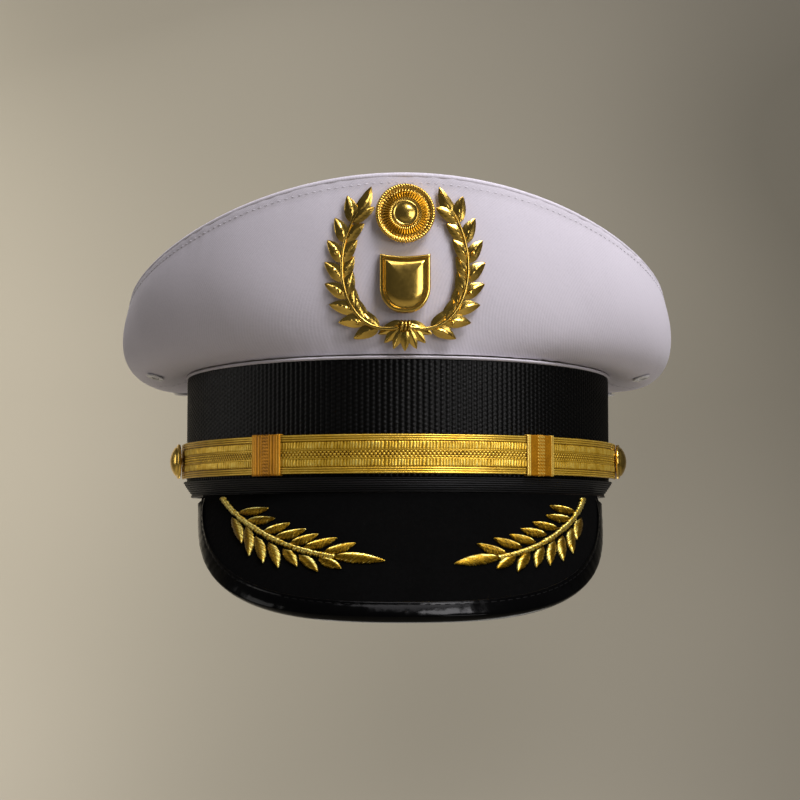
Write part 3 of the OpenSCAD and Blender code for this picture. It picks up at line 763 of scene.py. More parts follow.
def crown_piping():
    """Folded strip round the top of the band."""
    a, turn = np.linspace(-math.pi, math.pi, 721)[:, None], circle(20)[None, :]
    bulge = 1 + 0.06 * ripple(a * BAND_ARC, 0 * a, 21, 6, 0.3, 1.2)
    d = -0.55 + 1.15 * np.cos(turn) * bulge
    z = (PIPING_LO + PIPING_HI) / 2 + 0.25 + 0.60 * np.sin(turn) * bulge
    flat = np.stack(np.broadcast_arrays(length_at(a), turn * 1.1), -1).reshape(-1, 2) * MM
    shape = wall(a, d, z).reshape(-1, 3), quads(721, 20, wrap=True)
    return piece("crown_piping", shape, white_fold, ["crown_welt"], uv=flat)


piping = crown_piping()

# Profile of an eyelet, as (distance from its hole's edge, height): flange, barrel and inner washer
EYELET_R = 1.6
EYELET = [(0, 0.6), (0.35, 0.85), (0.9, 0.82), (1.5, 0.6), (1.95, 0.3), (2.0, 0.1), (0.5, 0.1), (0.5, -1.5),
          (1.9, -1.55), (1.95, -1.9), (1.2, -2.1), (0.2, -2.0), (0, -1.8)]


def placed(shape, point, normal):
    """Turns a shape made round +Z so that +Z lies along the normal, and moves it."""
    verts, faces = shape
    turn = np.array(Vector(normal).to_track_quat("Z", "Y").to_matrix())
    return verts @ turn.T + point, faces


for side, a0, a1 in (("left", 0, math.pi), ("right", -math.pi, 0)):
    eyelet = revolve([(EYELET_R + r, z) for r, z in EYELET], 40)
    shape = merge([placed(eyelet, p + 0.25 * n, n) for p, n in eyelet_spots(a0, a1)])
    piece("vent_eyelets_" + side, shape, enamel, ["eyelets_" + side])

# ---- Band ----
BAND_LENGTH = float(length_at(np.array(math.pi))) * 2
RIBS, RIB_R, TUCK, SIDE_TUCK = 7, 0.42, 1.9, 1.5
WELT_ANGLES = angle_at(np.linspace(-BAND_LENGTH / 2, BAND_LENGTH / 2, 601))[:, None]


def band_webbing():
    """Columns of woven beads, each column half a bead off the next."""
    columns, bead = 286, 1.7
    s = np.linspace(-BAND_LENGTH / 2, BAND_LENGTH / 2, columns * 4 + 1)
    z = np.linspace(WELT_TOP, BAND_TOP + 0.4, 86)
    column = (s + BAND_LENGTH / 2) / BAND_LENGTH * columns
    ridge = np.sin(np.pi * (column % 1)) ** 0.8
    shift = np.floor(column) % 2 / 2
    beads = 0.5 + 0.5 * np.cos(2 * np.pi * (z[None, :] / bead + shift[:, None]))
    beads = np.where(np.minimum(z[-1] - z, z - WELT_TOP)[None, :] < 1.0, 0.6, beads)
    relief = ridge[:, None] * (0.3 + 0.7 * beads)
    a = angle_at(s)[:, None]
    shape = shell(wall(a, -0.52 + 0.56 * relief, z), wall(a, np.full_like(relief, -0.86), z))
    # The relief is also the tone: painted shade in the gaps, painted highlight on the beads; the inner face
    # gets the darkest tone.
    return piece("band_webbing", shape, webbing, ["cap_band"],
                 tone=np.concatenate([relief.ravel(), 0 * relief.ravel()]), sharp=180)


def side_tuck(a, z):
    """How far the welt and its board step in at the sides, most at the bottom."""
    return SIDE_TUCK * np.sin(a) ** 2 * (1 - np.clip(z / WELT_TOP, 0, 1) ** 2)


def ribbed_welt():
    """Ribs that step in towards the bottom, and the fold behind them."""
    profile = []
    for i in range(RIBS):
        out = WELT_PROUD - TUCK * (1 - i / (RIBS - 1)) ** 2 - RIB_R
        for b in np.radians(np.linspace(-75, 75, 6)):
            up = (i + 0.5 + 0.5 * math.sin(b)) * WELT_TOP / RIBS
            # The third value is the tone: painted highlight on each rib's crest, painted shade down its
            # flanks.
            profile.append((out + RIB_R * math.cos(b), up, math.cos(b)))
    profile += [(-0.86, z, 0) for z in np.linspace(WELT_TOP, 0.02, 6)]
    profile += [(-2.0, 0.02, 0), (-2.05, -0.1, 0.3), (-1.9, -0.22, 0.5), (-0.9, -0.2, 0.5)]
    out, up, tone = np.array(profile).T[:, None]
    a = WELT_ANGLES
    wave = 0.05 * ripple(a * BAND_ARC, up * 3, 31, 6, 0.3, 1.5)
    points = wall(a, out + wave - side_tuck(a, up), up + 0 * a)
    shape = points.reshape(-1, 3), quads(len(a), len(profile), wrap=True)
    return piece("band_ribbed_welt", shape, ribs, ["band_welt"],
                 tone=np.broadcast_to(tone, wave.shape), sharp=80)


def board_frame():
    """Board behind the webbing, bent in with the welt."""
    top, a = float(span("band_frame")[1][2]), WELT_ANGLES
    z = np.concatenate([np.linspace(0.03, WELT_TOP, 9), np.linspace(WELT_TOP + 4, top, 8)])[None, :]
    rough = 0.03 * ripple(a * BAND_ARC, z, 32, 5, 0.3, 1.2)
    shape = shell(wall(a, -0.92 - side_tuck(a, z), z), wall(a, rough - 1.8 - side_tuck(a, z), z))
    return piece("band_board_frame", shape, board, ["band_frame"])


web, welt, frame_board = band_webbing(), ribbed_welt(), board_frame()

# ---- Sweatband and fittings inside ----
SWEAT_END = math.pi - 3.2 / (END_R + SWEAT_OUT)  # its ends stop short of each other at the back
SWEAT_ROWS = (2.2, SWEAT_HI - 2.0)  # heights of its stitches
PAD_LO, PAD_HI, PAD_END = 3, 31, math.radians(40)


def sweatband():
    a = np.linspace(-SWEAT_END, SWEAT_END, 500)[:, None]
    z = np.concatenate([[0, 0.3], np.linspace(1, SWEAT_HI - 1, 26), [SWEAT_HI - 0.3, SWEAT_HI]])[None, :]
    bulge = np.sin(np.pi * np.clip(z / SWEAT_HI, 0, 1))
    puff = 0.125 * ripple(a * BAND_ARC, z, 41, 6, 0.04, 0.15) * bulge
    groove = 0.18 * bell(z - SWEAT_ROWS[0], 0.5) + 0.15 * bell(z - SWEAT_ROWS[1], 0.45)
    edges = 0.3 * (bell(z, 0.4) + bell(z - SWEAT_HI, 0.4))
    shape = shell(wall(a, SWEAT_IN + puff + groove + edges, z), wall(a, SWEAT_OUT + puff - edges * 0.5, z))
    return piece("sweatband_leather", shape, sweat_leather, ["sweatband"])


def sweatband_stitching():
    a = np.linspace(0.02 - SWEAT_END, SWEAT_END - 0.02, 900)
    rows = [stitch_row(wall(a, SWEAT_IN + 0.16, z), -wall_normal(a), 2.4, 0.9, 0.16, 0.22, 0.24)
            for z in SWEAT_ROWS]
    return piece("sweatband_stitching", merge(rows), tan_thread)


def forehead_pad():
    a = np.linspace(-PAD_END, PAD_END, 120)[:, None]
    z = np.linspace(PAD_LO, PAD_HI, 30)[None, :]
    fuzz = 0.1 * ripple(a * 72, z, 42, 8, 0.6, 2.0)
    shape = shell(wall(a, -2.0 + 0 * z, z), wall(a, -3.4 + fuzz, z))
    return piece("forehead_pad", shape, felt, ["forehead_felt"])


sweat, sweat_thread, pad = sweatband(), sweatband_stitching(), forehead_pad()


def flat_bow():
    """Ribbon bow on the back of the sweatband: two loops, two tails and a knot."""
    y, top = HALF_L + SWEAT_IN - 0.5, SWEAT_HI - 5
    thick = np.array([0, -0.22, 0])
    parts, w = [], np.linspace(-1, 1, 7)[None, :]
    for s in (-1, 1):
        u = np.linspace(0, 1, 40)[:, None]
        x = s * (0.8 + 9.5 * np.sin(np.pi * u))
        depth = -1.1 - 1.0 * np.sin(2 * np.pi * u) - 0.12 * w**2
        loop = vec(x + 0 * w, y + depth, top + 0.5 * (u - 0.5) + w * (1.1 + 2.6 * np.sin(np.pi * u)))
        parts.append(shell(loop, loop + thick))
        u = np.linspace(0, 1, 24)[:, None]
        tail = vec(s * (0.5 + 4.5 * u) + 0.9 * w * (1 - 0.2 * u), y - 0.9 - 0.3 * np.sin(3 * u) + 0 * w,
                   top - 10.5 * u + s * 0.35 * w * u)
        parts.append(shell(tail, tail + thick))
    u, w = np.linspace(0, 2 * np.pi, 25)[:, None], np.linspace(-1, 1, 9)[None, :]
    knot = [vec(wide * np.cos(u) * (1 - 0.15 * w**2), y - 1.5 + deep * np.sin(u) * (1 - 0.2 * w**2),
                top + 1.5 * w) for wide, deep in ((1.25, 0.95), (1.0, 0.7))]
    return merge([*parts, shell(*knot)])


bow = piece("sweatband_ribbon_bow", flat_bow(), ribbon, ["sweatband_bow"])


def gathers(angles):
    return np.sin(angles * 46 + 1.2 * np.sin(angles * 5))


def lining_rings():
    """Gathered satin: rings up the sides, then in to the middle of the top."""
    angles, rings = circle(400), []
    for t in np.linspace(0.02, 0.9, 34):
        fold = 0.55 * gathers(angles) + 0.3 * ripple(angles * 40, t * 4 + 0 * angles, 51, 5)
        fold = fold * math.sin(math.pi * t)
        rings.append(side_at(angles, np.full(angles.shape, t), -LINING_GAP + 0.1 + fold * 0.7))
    for r in np.linspace(0.92, 0.012, 30):
        fold = 0.35 * gathers(angles) * math.exp(-(0.92 - r) * RIM_ARC / 9)
        sag = -0.25 * ripple(angles * 6, r * 5 + 0 * angles, 52, 5, 0.5, 1.0) * (1 - r) ** 0.5 * r
        rings.append(rim_pt(angles, r) - (LINING_GAP - fold - sag)[:, None] * UP)
    return np.array(rings)


lining_grid = lining_rings()
lining_back = lining_grid + 0.5 * unit(np.array([0, RIM_BACK, 70.0]) - lining_grid)
lining = piece("crown_lining_satin", dome(lining_grid, lining_back), satin, ["crown_lining"],
               uv=np.concatenate([lining_grid.reshape(-1, 3)[:, :2]] * 2) * MM)

# Clear shield on the lining: a round-cornered diamond
SHIELD_SIZE, SHIELD_POWER, SHIELD_DEPTH = 0.52, 1.3, LINING_GAP + 0.9


def shield_ring(r, depth=SHIELD_DEPTH):
    b = circle(160)
    reach = np.abs(np.sin(b)) ** SHIELD_POWER + np.abs(np.cos(b)) ** SHIELD_POWER
    return rim_pt(b, SHIELD_SIZE * r / reach ** (1 / SHIELD_POWER)) - depth * UP


vinyl_rings = np.array(
    [shield_ring(r, SHIELD_DEPTH + 0.25 * math.sin(6 * r)) for r in np.linspace(1, 0.02, 24)]
)
sweat_shield = piece("crown_sweat_shield", dome(vinyl_rings, vinyl_rings - 0.3 * UP), vinyl,
                     ["sweat_shield"])
shield_edge = shield_ring(0.965, SHIELD_DEPTH + 0.35)
shield_edge = np.concatenate([shield_edge, shield_edge[:1]])
shield_row = stitch_row(shield_edge, np.broadcast_to(-UP, shield_edge.shape), 2.2, 1.0, 0.16, 0.2, 0.3)
shield_thread = piece("sweat_shield_stitching", shield_row, white_thread)

# ---- Visor ----
visor_a = even(visor_lip, -VISOR_END, VISOR_END, 260)[:, None]


def visor_panels():
    a, v = np.broadcast_arrays(visor_a, np.linspace(0, 1, 60)[None, :])
    x, _, z = np.moveaxis(visor_pt(a, v), -1, 0)
    soft = 0.12 * ripple(x, z, 61, 6, 0.05, 0.2) + 0.03 * ripple(x, z, 62, 8, 1.5, 4)
    cloth = shell(visor_at(a, v, soft - 0.05), visor_at(a, v, np.full(a.shape, -0.7)))
    cover = shell(visor_at(a, v, np.full(a.shape, -2.45)), visor_at(a, v, -3.0 + 0.5 * soft))
    return (
        piece("visor_wool_top", cloth, wool, ["visor_cloth"]),
        piece("visor_leatherette", cover, leatherette, ["visor_underlay"]),
    )


visor_top, visor_under = visor_panels()


def lip_frame(a):
    """Points of the visor's lip, and the ways up and out from it."""
    e = 0.004
    lip = visor_lip(a)
    along = unit(visor_lip(np.minimum(a + e, VISOR_END)) - visor_lip(np.maximum(a - e, -VISOR_END)))
    up = visor_normal(a, np.full_like(a, 0.985))
    up = unit(up - (up * along).sum(-1, keepdims=True) * along)
    return lip, up, unit(np.cross(along, up))


def binding_section():
    """Closed section of (out, up) points: stitch groove on top, round edge, fold underneath."""
    inner, low = -BINDING, -3.15
    top = [(inner, 0.12), (inner - 0.1, 0.3), (inner + 0.15, 0.52), (inner + 0.9, 0.56), (inner + 1.25, 0.42),
           (inner + 1.6, 0.58), (-3.0, 0.72), (-1.4, 0.76)]
    edge = [(1.05 * math.cos(b), -1.5 + 2.25 * math.sin(b)) for b in np.radians(np.linspace(82, -82, 13))]
    under = [(-1.4, -3.78), (-3.0, -3.74), (inner + 0.2, -3.6), (inner, -3.4), (inner, low)]
    return np.array([*top, *edge, *under, (0.1, low), (0.1, 0.1)])


lip, lip_up, lip_out = lip_frame(even(visor_lip, -VISOR_END, VISOR_END, 620))
travel = run(lip)


def visor_binding():
    across, up = binding_section().T[:, None]
    pucker = 0.07 * ripple(travel[:, None], across * 0.8, 63, 8, 0.3, 1.6) * (up > 0.3)
    rings = lip[:, None] + across[..., None] * lip_out[:, None] + (up + pucker)[..., None] * lip_up[:, None]
    return piece("visor_patent_binding", capped(rings, flip=True), patent, ["visor_binding"],
                 sharp=50)


binding = visor_binding()
visor_row = stitch_row(lip + (1.25 - BINDING) * lip_out + 0.42 * lip_up, lip_up, 2.6, 0.8, 0.13, 0.17, 0.26)
visor_thread = piece("visor_binding_stitching", visor_row, black_thread)


# ---- Embroidery ----
def bez(p, t):
    p = np.array(p, float)
    t = np.asarray(t, float)[..., None]
    return (1 - t) ** 3 * p[0] + 3 * (1 - t) ** 2 * t * p[1] + 3 * (1 - t) * t * t * p[2] + t**3 * p[3]


def leaf_axes(base, tip):
    """A leaf's base, its length and the ways along and across it."""
    base, axis = np.array(base, float), np.array(tip, float) - np.array(base, float)
    length = np.linalg.norm(axis)
    along = axis / length
    return base, length, along, np.array([-along[1], along[0]])


def satin_leaf(place, base, tip, width, height, lean, curl):
    """Padded leaf covered in slanting threads. place(x, q, d) gives points and normals."""
    base, length, dx, dy = leaf_axes(base, tip)

    def spot(u, w):
        """Place and height at u along from 0 to 1 and w across from -1 to 1."""
        half = width / 2 * np.sin(np.pi * np.clip(u, 0, 1) ** 0.85) ** 0.75
        bow = curl * length * np.sin(np.pi * u)
        xy = base + (u * length)[..., None] * dx + (w * half + bow)[..., None] * dy
        rise = height * np.sqrt(np.maximum(1 - w**2, 0)) * np.sin(np.pi * np.clip(u, 0.02, 0.98)) ** 0.35
        return xy[..., 0], xy[..., 1], rise

    count = int(length / 0.50)
    dice = np.random.default_rng(int(length * 997))
    w = np.linspace(-1, 1, 9)[None, :] * (1.06 + 0.16 * dice.random(count)[:, None])
    start = np.linspace(0.03, 0.95, count) + 0.004 * dice.standard_normal(count)
    x, q, rise = spot(np.clip(start[:, None] + lean * width / length * w, 0.0, 1.0), w)
    points, normals = place(x, q, rise + 0.16 + 0.05 * dice.random(count)[:, None])
    threads = tubes(points, normals, 0.22, 0.225, 5, np.array([0.75, 0.9, 1, 1, 1, 1, 1, 0.95, 0.8]))
    # Painted highlight along one edge of each leaf and faintly along the other, times random brightness per
    # thread and along it: random tone in part, painted glints in part.
    light = np.clip(0.26 + 0.8 * (w > 0.42) + 0.3 * (w < -0.85), 0, 1.1)
    light = light * (0.4 + 0.8 * dice.random(count)[:, None]) * (0.65 + 0.7 * dice.random(w.shape))
    u, w = np.broadcast_arrays(np.linspace(0, 1, 14)[:, None], np.linspace(-0.93, 0.93, 9)[None, :])
    x, q, rise = spot(u, w)
    padding = shell(place(x, q, rise * 0.9 + 0.03)[0], place(x, q, 0 * rise - 0.1)[0])
    # The padding's low tone is painted shade in the gaps between the threads.
    return merge([threads, padding]), np.concatenate([np.repeat(light.ravel(), 5), np.full(2 * u.size, 0.2)])


def wound_stem(place, stem):
    """Thick bright threads wound round a cord, and the cord."""
    count, dice = 74, np.random.default_rng(5)
    t = np.linspace(0, 1, count) + 0.003 * dice.standard_normal(count)
    w = np.linspace(-1, 1, 9)
    fine = np.linspace(0, 1, 200)
    slope = unit(np.gradient(bez(stem, fine), axis=0))

    def across(t):
        return np.stack([-np.interp(t, fine, slope[:, 1]), np.interp(t, fine, slope[:, 0])], -1)

    half = 1.02 - 0.2 * t + 0.16 * dice.standard_normal(count)
    centre = bez(stem, np.clip(t[:, None] + 0.014 * w[None, :], 0, 1))
    xy = centre + (half[:, None] * w[None, :])[..., None] * across(t)[:, None, :]
    rise = np.sqrt(np.maximum(1 - w**2, 0)) + 0.15 + 0.16 * dice.random(count)[:, None]
    threads = tubes(*place(xy[..., 0], xy[..., 1], rise), 0.30, 0.36, 6)
    # Brightness that varies at random along the threads: random tone in part, painted glints in part.
    light = np.repeat((0.45 + 0.6 * dice.random((count, 9))).ravel(), 6)
    u, w = np.broadcast_arrays(np.linspace(0, 1, 40)[:, None], np.linspace(-0.8, 0.8, 7)[None, :])
    x, q = np.moveaxis(bez(stem, u) + (0.85 * w)[..., None] * across(u), -1, 0)
    cord = shell(place(x, q, 0.9 * np.sqrt(1 - w**2) + 0.1)[0], place(x, q, 0 * w - 0.1)[0])
    # The cord's low tone is painted shade in the gaps between the threads.
    return merge([threads, cord]), np.concatenate([light, np.full(2 * u.size, 0.3)])


# Stem, tip of the last leaf, then leaves above and below, base to tip: the sides differ a little.
# All are distances from the visor's middle and down its face.
SPRAY_RIGHT = (
    [(67.5, 2.5), (62, 13), (46, 26.5), (25, 30)], (7.6, 31.7),
    [((60.5, 9.6), (49.4, 7.6)), ((57.1, 13.5), (46.8, 12.4)), ((50.9, 19), (41.2, 14.8)),
     ((46.3, 21.2), (35.3, 17.6)), ((40.7, 23.9), (30.9, 19.9)), ((35.7, 25.6), (24.2, 21.7)),
     ((28.6, 27.8), (17.6, 24))],
    [((63.1, 12), (59, 23.8)), ((57.2, 16.3), (55.9, 29.5)), ((53.4, 20.9), (50.5, 32.3)),
     ((48.4, 23.5), (44.9, 34.2)), ((43.1, 26.5), (38.2, 33.7)), ((37.3, 29.1), (30.8, 35.8)),
     ((30.3, 30.8), (22.6, 34.6))],
)
SPRAY_LEFT = (
    [(68.9, 2.7), (66, 13), (52, 26.5), (32.5, 30.3)], (16.7, 32.8),
    [((64.7, 9.2), (54.1, 6.3)), ((62.6, 12.9), (52.2, 11)), ((56.3, 17.2), (46.5, 14.3)),
     ((51.5, 20), (41.7, 17.4)), ((46.8, 23.4), (37.3, 20.1)), ((41.4, 25.6), (31.4, 21.8)),
     ((35.6, 28.4), (25.1, 24.3))],
    [((67, 12.2), (64.1, 22.4)), ((62.1, 17.1), (61.9, 28.6)), ((57.9, 20.7), (57.5, 31.8)),
     ((54.3, 22.9), (52, 33.6)), ((49.6, 25.6), (46.5, 34.2)), ((44.1, 28.3), (39.4, 36)),
     ((38.8, 29.9), (31.7, 34.7))],
)


def embroidery(sign, stem, last, upper, lower):
    def place(x, q, d):
        return visor_face(sign * x, q, d)

    parts = [satin_leaf(place, *leaf, 3.3, 0.95, 0.55, -0.03) for leaf in upper]
    parts += [satin_leaf(place, *leaf, 3.4, 0.95, 0.5, 0.03) for leaf in lower]
    parts.append(satin_leaf(place, (stem[3][0] + 0.5, stem[3][1] - 0.3), last, 3.9, 1.05, 0.7, 0.02))
    parts.append(wound_stem(place, stem))
    shapes, tones = zip(*parts)
    return merge(shapes), np.concatenate(tones)


for side, sign, spray in (("left", 1, SPRAY_LEFT), ("right", -1, SPRAY_RIGHT)):
    shape, tone = embroidery(sign, *spray)
    piece("visor_embroidery_" + side, shape, bullion, ["embroidery_" + side], tone=tone,
          sharp=180)


# ---- Chin strap ----
def swing(x):
    """Wave from 0 to 1 and back as x grows by 1."""
    return 0.5 + 0.5 * np.cos(2 * np.pi * x)


def lace_relief(s, v):
    """Height from 0 to 1 of the lace, s along and v across it: check, cord, bars, cords and edge."""
    side = v - STRAP_W / 2
    w = np.abs(side)
    uneven = s + 0.25 * np.sin(s * 0.35) + 0.15 * np.sin(s * 1.3)
    bars = swing(uneven / 1.15 + 0.35 * np.sin(v * 2.2) / 2 / np.pi)
    glint = 0.5 + 0.5 * np.sin(s * 0.9 + 2.1 * np.sin(s * 0.23)) * np.sin(s * 0.31 + v)
    fine = swing(s / 0.55 + v * 3 / 2 / np.pi)
    check = swing(s / 1.5 + 0.5 * np.floor((side + 0.675) / 0.9))
    band = np.clip(1.05 - (np.abs(w - 3.1) / 1.42) ** 6, 0, 1)
    h = np.where(w < 1.35, 0.05 + 0.85 * check * np.abs(np.cos(np.pi * side / 0.9)) ** 0.6, 0.0)
    h = np.where((w >= 1.35) & (w < 1.75), 0.72 * np.sin(np.pi * (w - 1.35) / 0.4) + 0.15 * fine, h)
    h = np.where((w >= 1.75) & (w < 4.55), band * (0.22 + 0.46 * bars + 0.26 * glint), h)
    cord = np.abs(np.sin(np.pi * (w - 4.6) / 0.82))
    h = np.where((w >= 4.55) & (w < 6.25), cord * (0.62 + 0.22 * fine), h)
    return np.where(w >= 6.25, 0.85 * np.clip(1 - ((w - 6.62) / 0.42) ** 2, 0, 1) * (0.8 + 0.2 * fine), h)


def strap_end(d):
    return math.acos((-BUTTON_Y - STRAP_TAIL) / (SIDE_R + d))


def strap_length(name, sign, back, node):
    """One length of the strap, from behind its button round the front to past the other slide."""
    front = back + STRAP_WALL
    s0, s1 = (float(length_at(np.array(a), front)) for a in (-STRAP_LAP, strap_end(front)))
    s, v = np.linspace(s0, s1, int((s1 - s0) / 0.24)), np.linspace(0, STRAP_W, 71)
    h = lace_relief(s[:, None], v[None, :])
    rounding = np.sqrt(np.maximum(1 - (1 - np.clip((s1 - s) / 4.0, 0, 1)[:, None]) ** 2, 0.02))
    z = STRAP_MID + (v[None, :] - STRAP_W / 2) * rounding
    a = sign * angle_at(s, front)[:, None]
    shape = shell(wall(a, front - 0.38 + 0.44 * h, z), wall(a, back + 0.05 + 0.10 * h, z))
    # The relief height is also the tone: painted shade in the lace's hollows, painted highlights on its
    # raised threads, glint included.
    return piece(name, shape, lace, [node], "chin_strap",
                 tone=np.concatenate([h.ravel(), 0.5 * h.ravel()]), sharp=180)


strap_left = strap_length("chin_strap_left", 1, STRAP_BACK + STRAP_WALL, "strap_left")
strap_right = strap_length("chin_strap_right", -1, STRAP_BACK, "strap_right")

SLIDE_W, SLIDE_CORNER, SLIDE_EDGE, SLIDE_CHECK = 14.0, 0.45, 0.74, 0.24


def slide_relief(s, w, ribbed):
    """Height of a slide's lace: w across the slide from -1 to 1, s round it."""
    side = np.abs(w)
    check = 0.5 + 0.5 * np.cos(2 * np.pi * s / 1.2 + np.pi * w * 5) * np.cos(np.pi * w * 5)
    fine = swing(s / 0.6)
    if ribbed:
        h = 0.35 + 0.45 * np.abs(np.cos(np.pi * w * 4.5)) * (0.75 + 0.25 * fine)
        h = np.where(side < 0.22, 0.25 + 0.45 * check, h)
    else:
        h = np.where(side < SLIDE_CHECK, 0.35 + 0.6 * check, 0.34 + 0.08 * fine)
    cords = 0.45 + 0.55 * np.abs(np.sin(np.pi * (side - SLIDE_EDGE) / 0.13)) * (0.6 + 0.4 * fine)
    return np.where(side > SLIDE_EDGE, cords, h)


def slide_tone(h, w, ribbed):
    """The ribbed slide is darker all over; the other has flat bands beside its check."""
    # The tone follows the relief h: painted shade in the hollows, painted highlight on the raised threads.
    side = np.abs(w)
    if ribbed:
        return h * 0.62 * np.where(side > SLIDE_EDGE, 1.1, 0.95)
    tone = np.where(side > SLIDE_EDGE, h * 1.1, h)
    return np.where((side >= SLIDE_CHECK) & (side <= SLIDE_EDGE), 0.40, tone)


def slide(side, sign, ribbed):
    """Lace loop round both lengths of the strap."""
    back, front = 0.95, STRAP_FRONT + 0.55
    low, high = STRAP_Z - 0.45, STRAP_Z + STRAP_W + 0.45
    r = SLIDE_CORNER
    corners = ((front - r, low + r), (front - r, high - r), (back + r, high - r), (back + r, low + r))
    loop = []
    for k, (d, z) in enumerate(corners):
        for b in np.radians(np.linspace(90 * k - 90, 90 * k, 5)):
            loop.append((d + r * math.cos(b), z + r * math.sin(b)))
    loop = np.array(loop + loop[:1])
    length = run(loop)
    s = np.linspace(0, length[-1], 150, endpoint=False)
    d, z = np.interp(s, length, loop[:, 0]), np.interp(s, length, loop[:, 1])
    from_mid, up = d - (back + front) / 2, z - (low + high) / 2
    ends = np.abs(up) > (high - low) / 2 - 0.5
    out_d = np.where(ends, 0.35, 1.0) * np.sign(from_mid)
    out_z = np.where(ends, np.sign(up), 0.0)
    w = np.linspace(-1, 1, 77)[:, None]
    a = sign * SLIDE_AT + w * math.asin(SLIDE_W / 2 / (END_R + STRAP_FRONT))
    h = slide_relief(s[None, :], w, ribbed)

    def points(rise):
        r = END_R + d + out_d * rise
        return vec(r * np.sin(a), -SHIFT - r * np.cos(a), z + out_z * rise)

    outer = points(-0.12 + 0.26 * h - 0.25 * np.clip((np.abs(w) - 0.93) / 0.07, 0, 1) ** 2)
    tone = slide_tone(h, w, ribbed)
    piece("strap_keeper_" + side, shell(outer, points(np.full(h.shape, -0.38)), wrap=True),
          slide_lace, ["strap_slide_" + side], "slide_" + side,
          tone=np.concatenate([tone.ravel(), 0 * tone.ravel()]), sharp=180)


slide("left", 1, False)
slide("right", -1, True)


def button_profile():
    """Closed half section of a button shell: dome, rolled rim and hollow back."""
    top = BUTTON_DOME + 0.6
    sphere = (BUTTON_R**2 + BUTTON_DOME**2) / (2 * BUTTON_DOME)
    dome_top = [(r, top - sphere + math.sqrt(sphere**2 - r**2)) for r in np.linspace(0.5, 5.6, 12)]
    rim = [(5.85, 1.42), (6.1, 1.25), (6.4, 1.3), (6.75, 1.15), (6.95, 0.8), (BUTTON_R, 0.45), (6.85, 0.12)]
    back = [(6.5, 0.0), (5.95, 0.0), (5.95, 0.9), (5.4, 1.3), (3.0, 2.7), (0.001, BUTTON_DOME)]
    return [(0.001, top), *dome_top, *rim, *back]


for side, sign in (("left", 1), ("right", -1)):
    axis = np.array([sign * math.cos(BUTTON_TILT), -math.sin(BUTTON_TILT), 0])
    seat = np.array([sign * BUTTON_X, BUTTON_Y, STRAP_MID]) + (STRAP_FRONT + 0.3) * axis
    piece("strap_button_" + side, placed(revolve(button_profile(), 72), seat, axis), gilt,
          ["button_shell_" + side], "button_" + side, sharp=60)


# ---- Badge: laurel branches round a plain shield under a rayed disc ----
FRONT = np.array([0, -1.0, 0])
WREATH_BOTTOM, WREATH_FOOT = BADGE_Z, BADGE_Z + 11
SHIELD_W, SHIELD_H, SHIELD_LOW = 9.0, 21.0, BADGE_Z + 14
DISC_R, DISC_RAYS = 10.8, 48


def badge_pt(x, z, d):
    """Point of the badge's leaning face, d in front of it."""
    k = (BADGE_Z + BADGE_H - z) / BADGE_H
    return vec(x, -HALF_L - 7.4 - d + 5.6 * k * k + x * x / 190, z)


def laurel_leaf(s, base, tip, width, curl=0.06, lift=0.0):
    """Leaf with a raised midrib, veins and turned-up edges."""
    base, length, dx, dy = leaf_axes(base, tip)
    u, w = np.broadcast_arrays(np.linspace(0, 1, 19)[:, None], np.linspace(-1, 1, 13)[None, :])
    half = width / 2 * np.sin(np.pi * u**0.8) ** 0.8 + 0.02
    bow = curl * length * np.sin(np.pi * u)
    x, z = np.moveaxis(base + (u * length)[..., None] * dx + (w * half + bow)[..., None] * dy, -1, 0)
    swell = 0.7 + lift + 0.75 * np.sin(np.pi * u) * (1 - 0.75 * np.abs(w) ** 1.5)
    midrib = 0.38 * bell(w, 0.16) * np.sin(np.pi * u) ** 0.5
    veins = 0.1 * np.cos(2 * np.pi * (u * 6 - np.abs(w) * 1.6)) * (1 - np.abs(w))
    return shell(badge_pt(s * x, z, swell + midrib + veins), badge_pt(s * x, z, 0.3 + lift + 0 * u))


def rod(path, normals, radius, sides=10, taper=None):
    return tubes(np.array([path]), np.array([normals]), radius, radius, sides, taper)


def berry(x, z, radius, d):
    phi, theta = np.linspace(0, np.pi, 11)[:, None], np.linspace(0, 2 * np.pi, 17)[None, :]
    ball = vec(np.sin(phi) * np.cos(theta), np.cos(phi) + 0 * theta, np.sin(phi) * np.sin(theta))
    return (badge_pt(x, z, d) + radius * ball).reshape(-1, 3), quads(11, 17)


def laurel_branch(s, curve):
    """Stem, a leaf at its tip, eight pairs of leaves and three berries."""
    t = np.linspace(0, 1, 60)
    line = bez(curve, t)
    path = badge_pt(s * line[:, 0], line[:, 1], np.full(60, 1.2))
    parts = [rod(path, np.broadcast_to(FRONT, path.shape), 0.85, 10, 1 - 0.45 * t)]
    parts.append(laurel_leaf(s, bez(curve, 0.96), (12, WREATH_BOTTOM + 59), 4.8))
    slope = unit(np.gradient(line, axis=0))
    for i in range(8):
        k = 0.14 + 0.8 * i / 7
        base, along = bez(curve, k), slope[int(k * 59)]
        outward = np.array([along[1], -along[0]])
        for side in (-1, 1):
            normal = outward * side
            tip = base + 8 * along + 5.4 * normal
            parts.append(laurel_leaf(s, base + 0.3 * normal, tip, 4.8, 0.07 * side, 0.3 * (i % 2)))
        if i in (1, 3, 5):
            x, z = bez(curve, k + 0.05) + 2.1 * outward
            parts.append(berry(s * x, z, 0.85, 1.9))
    return parts


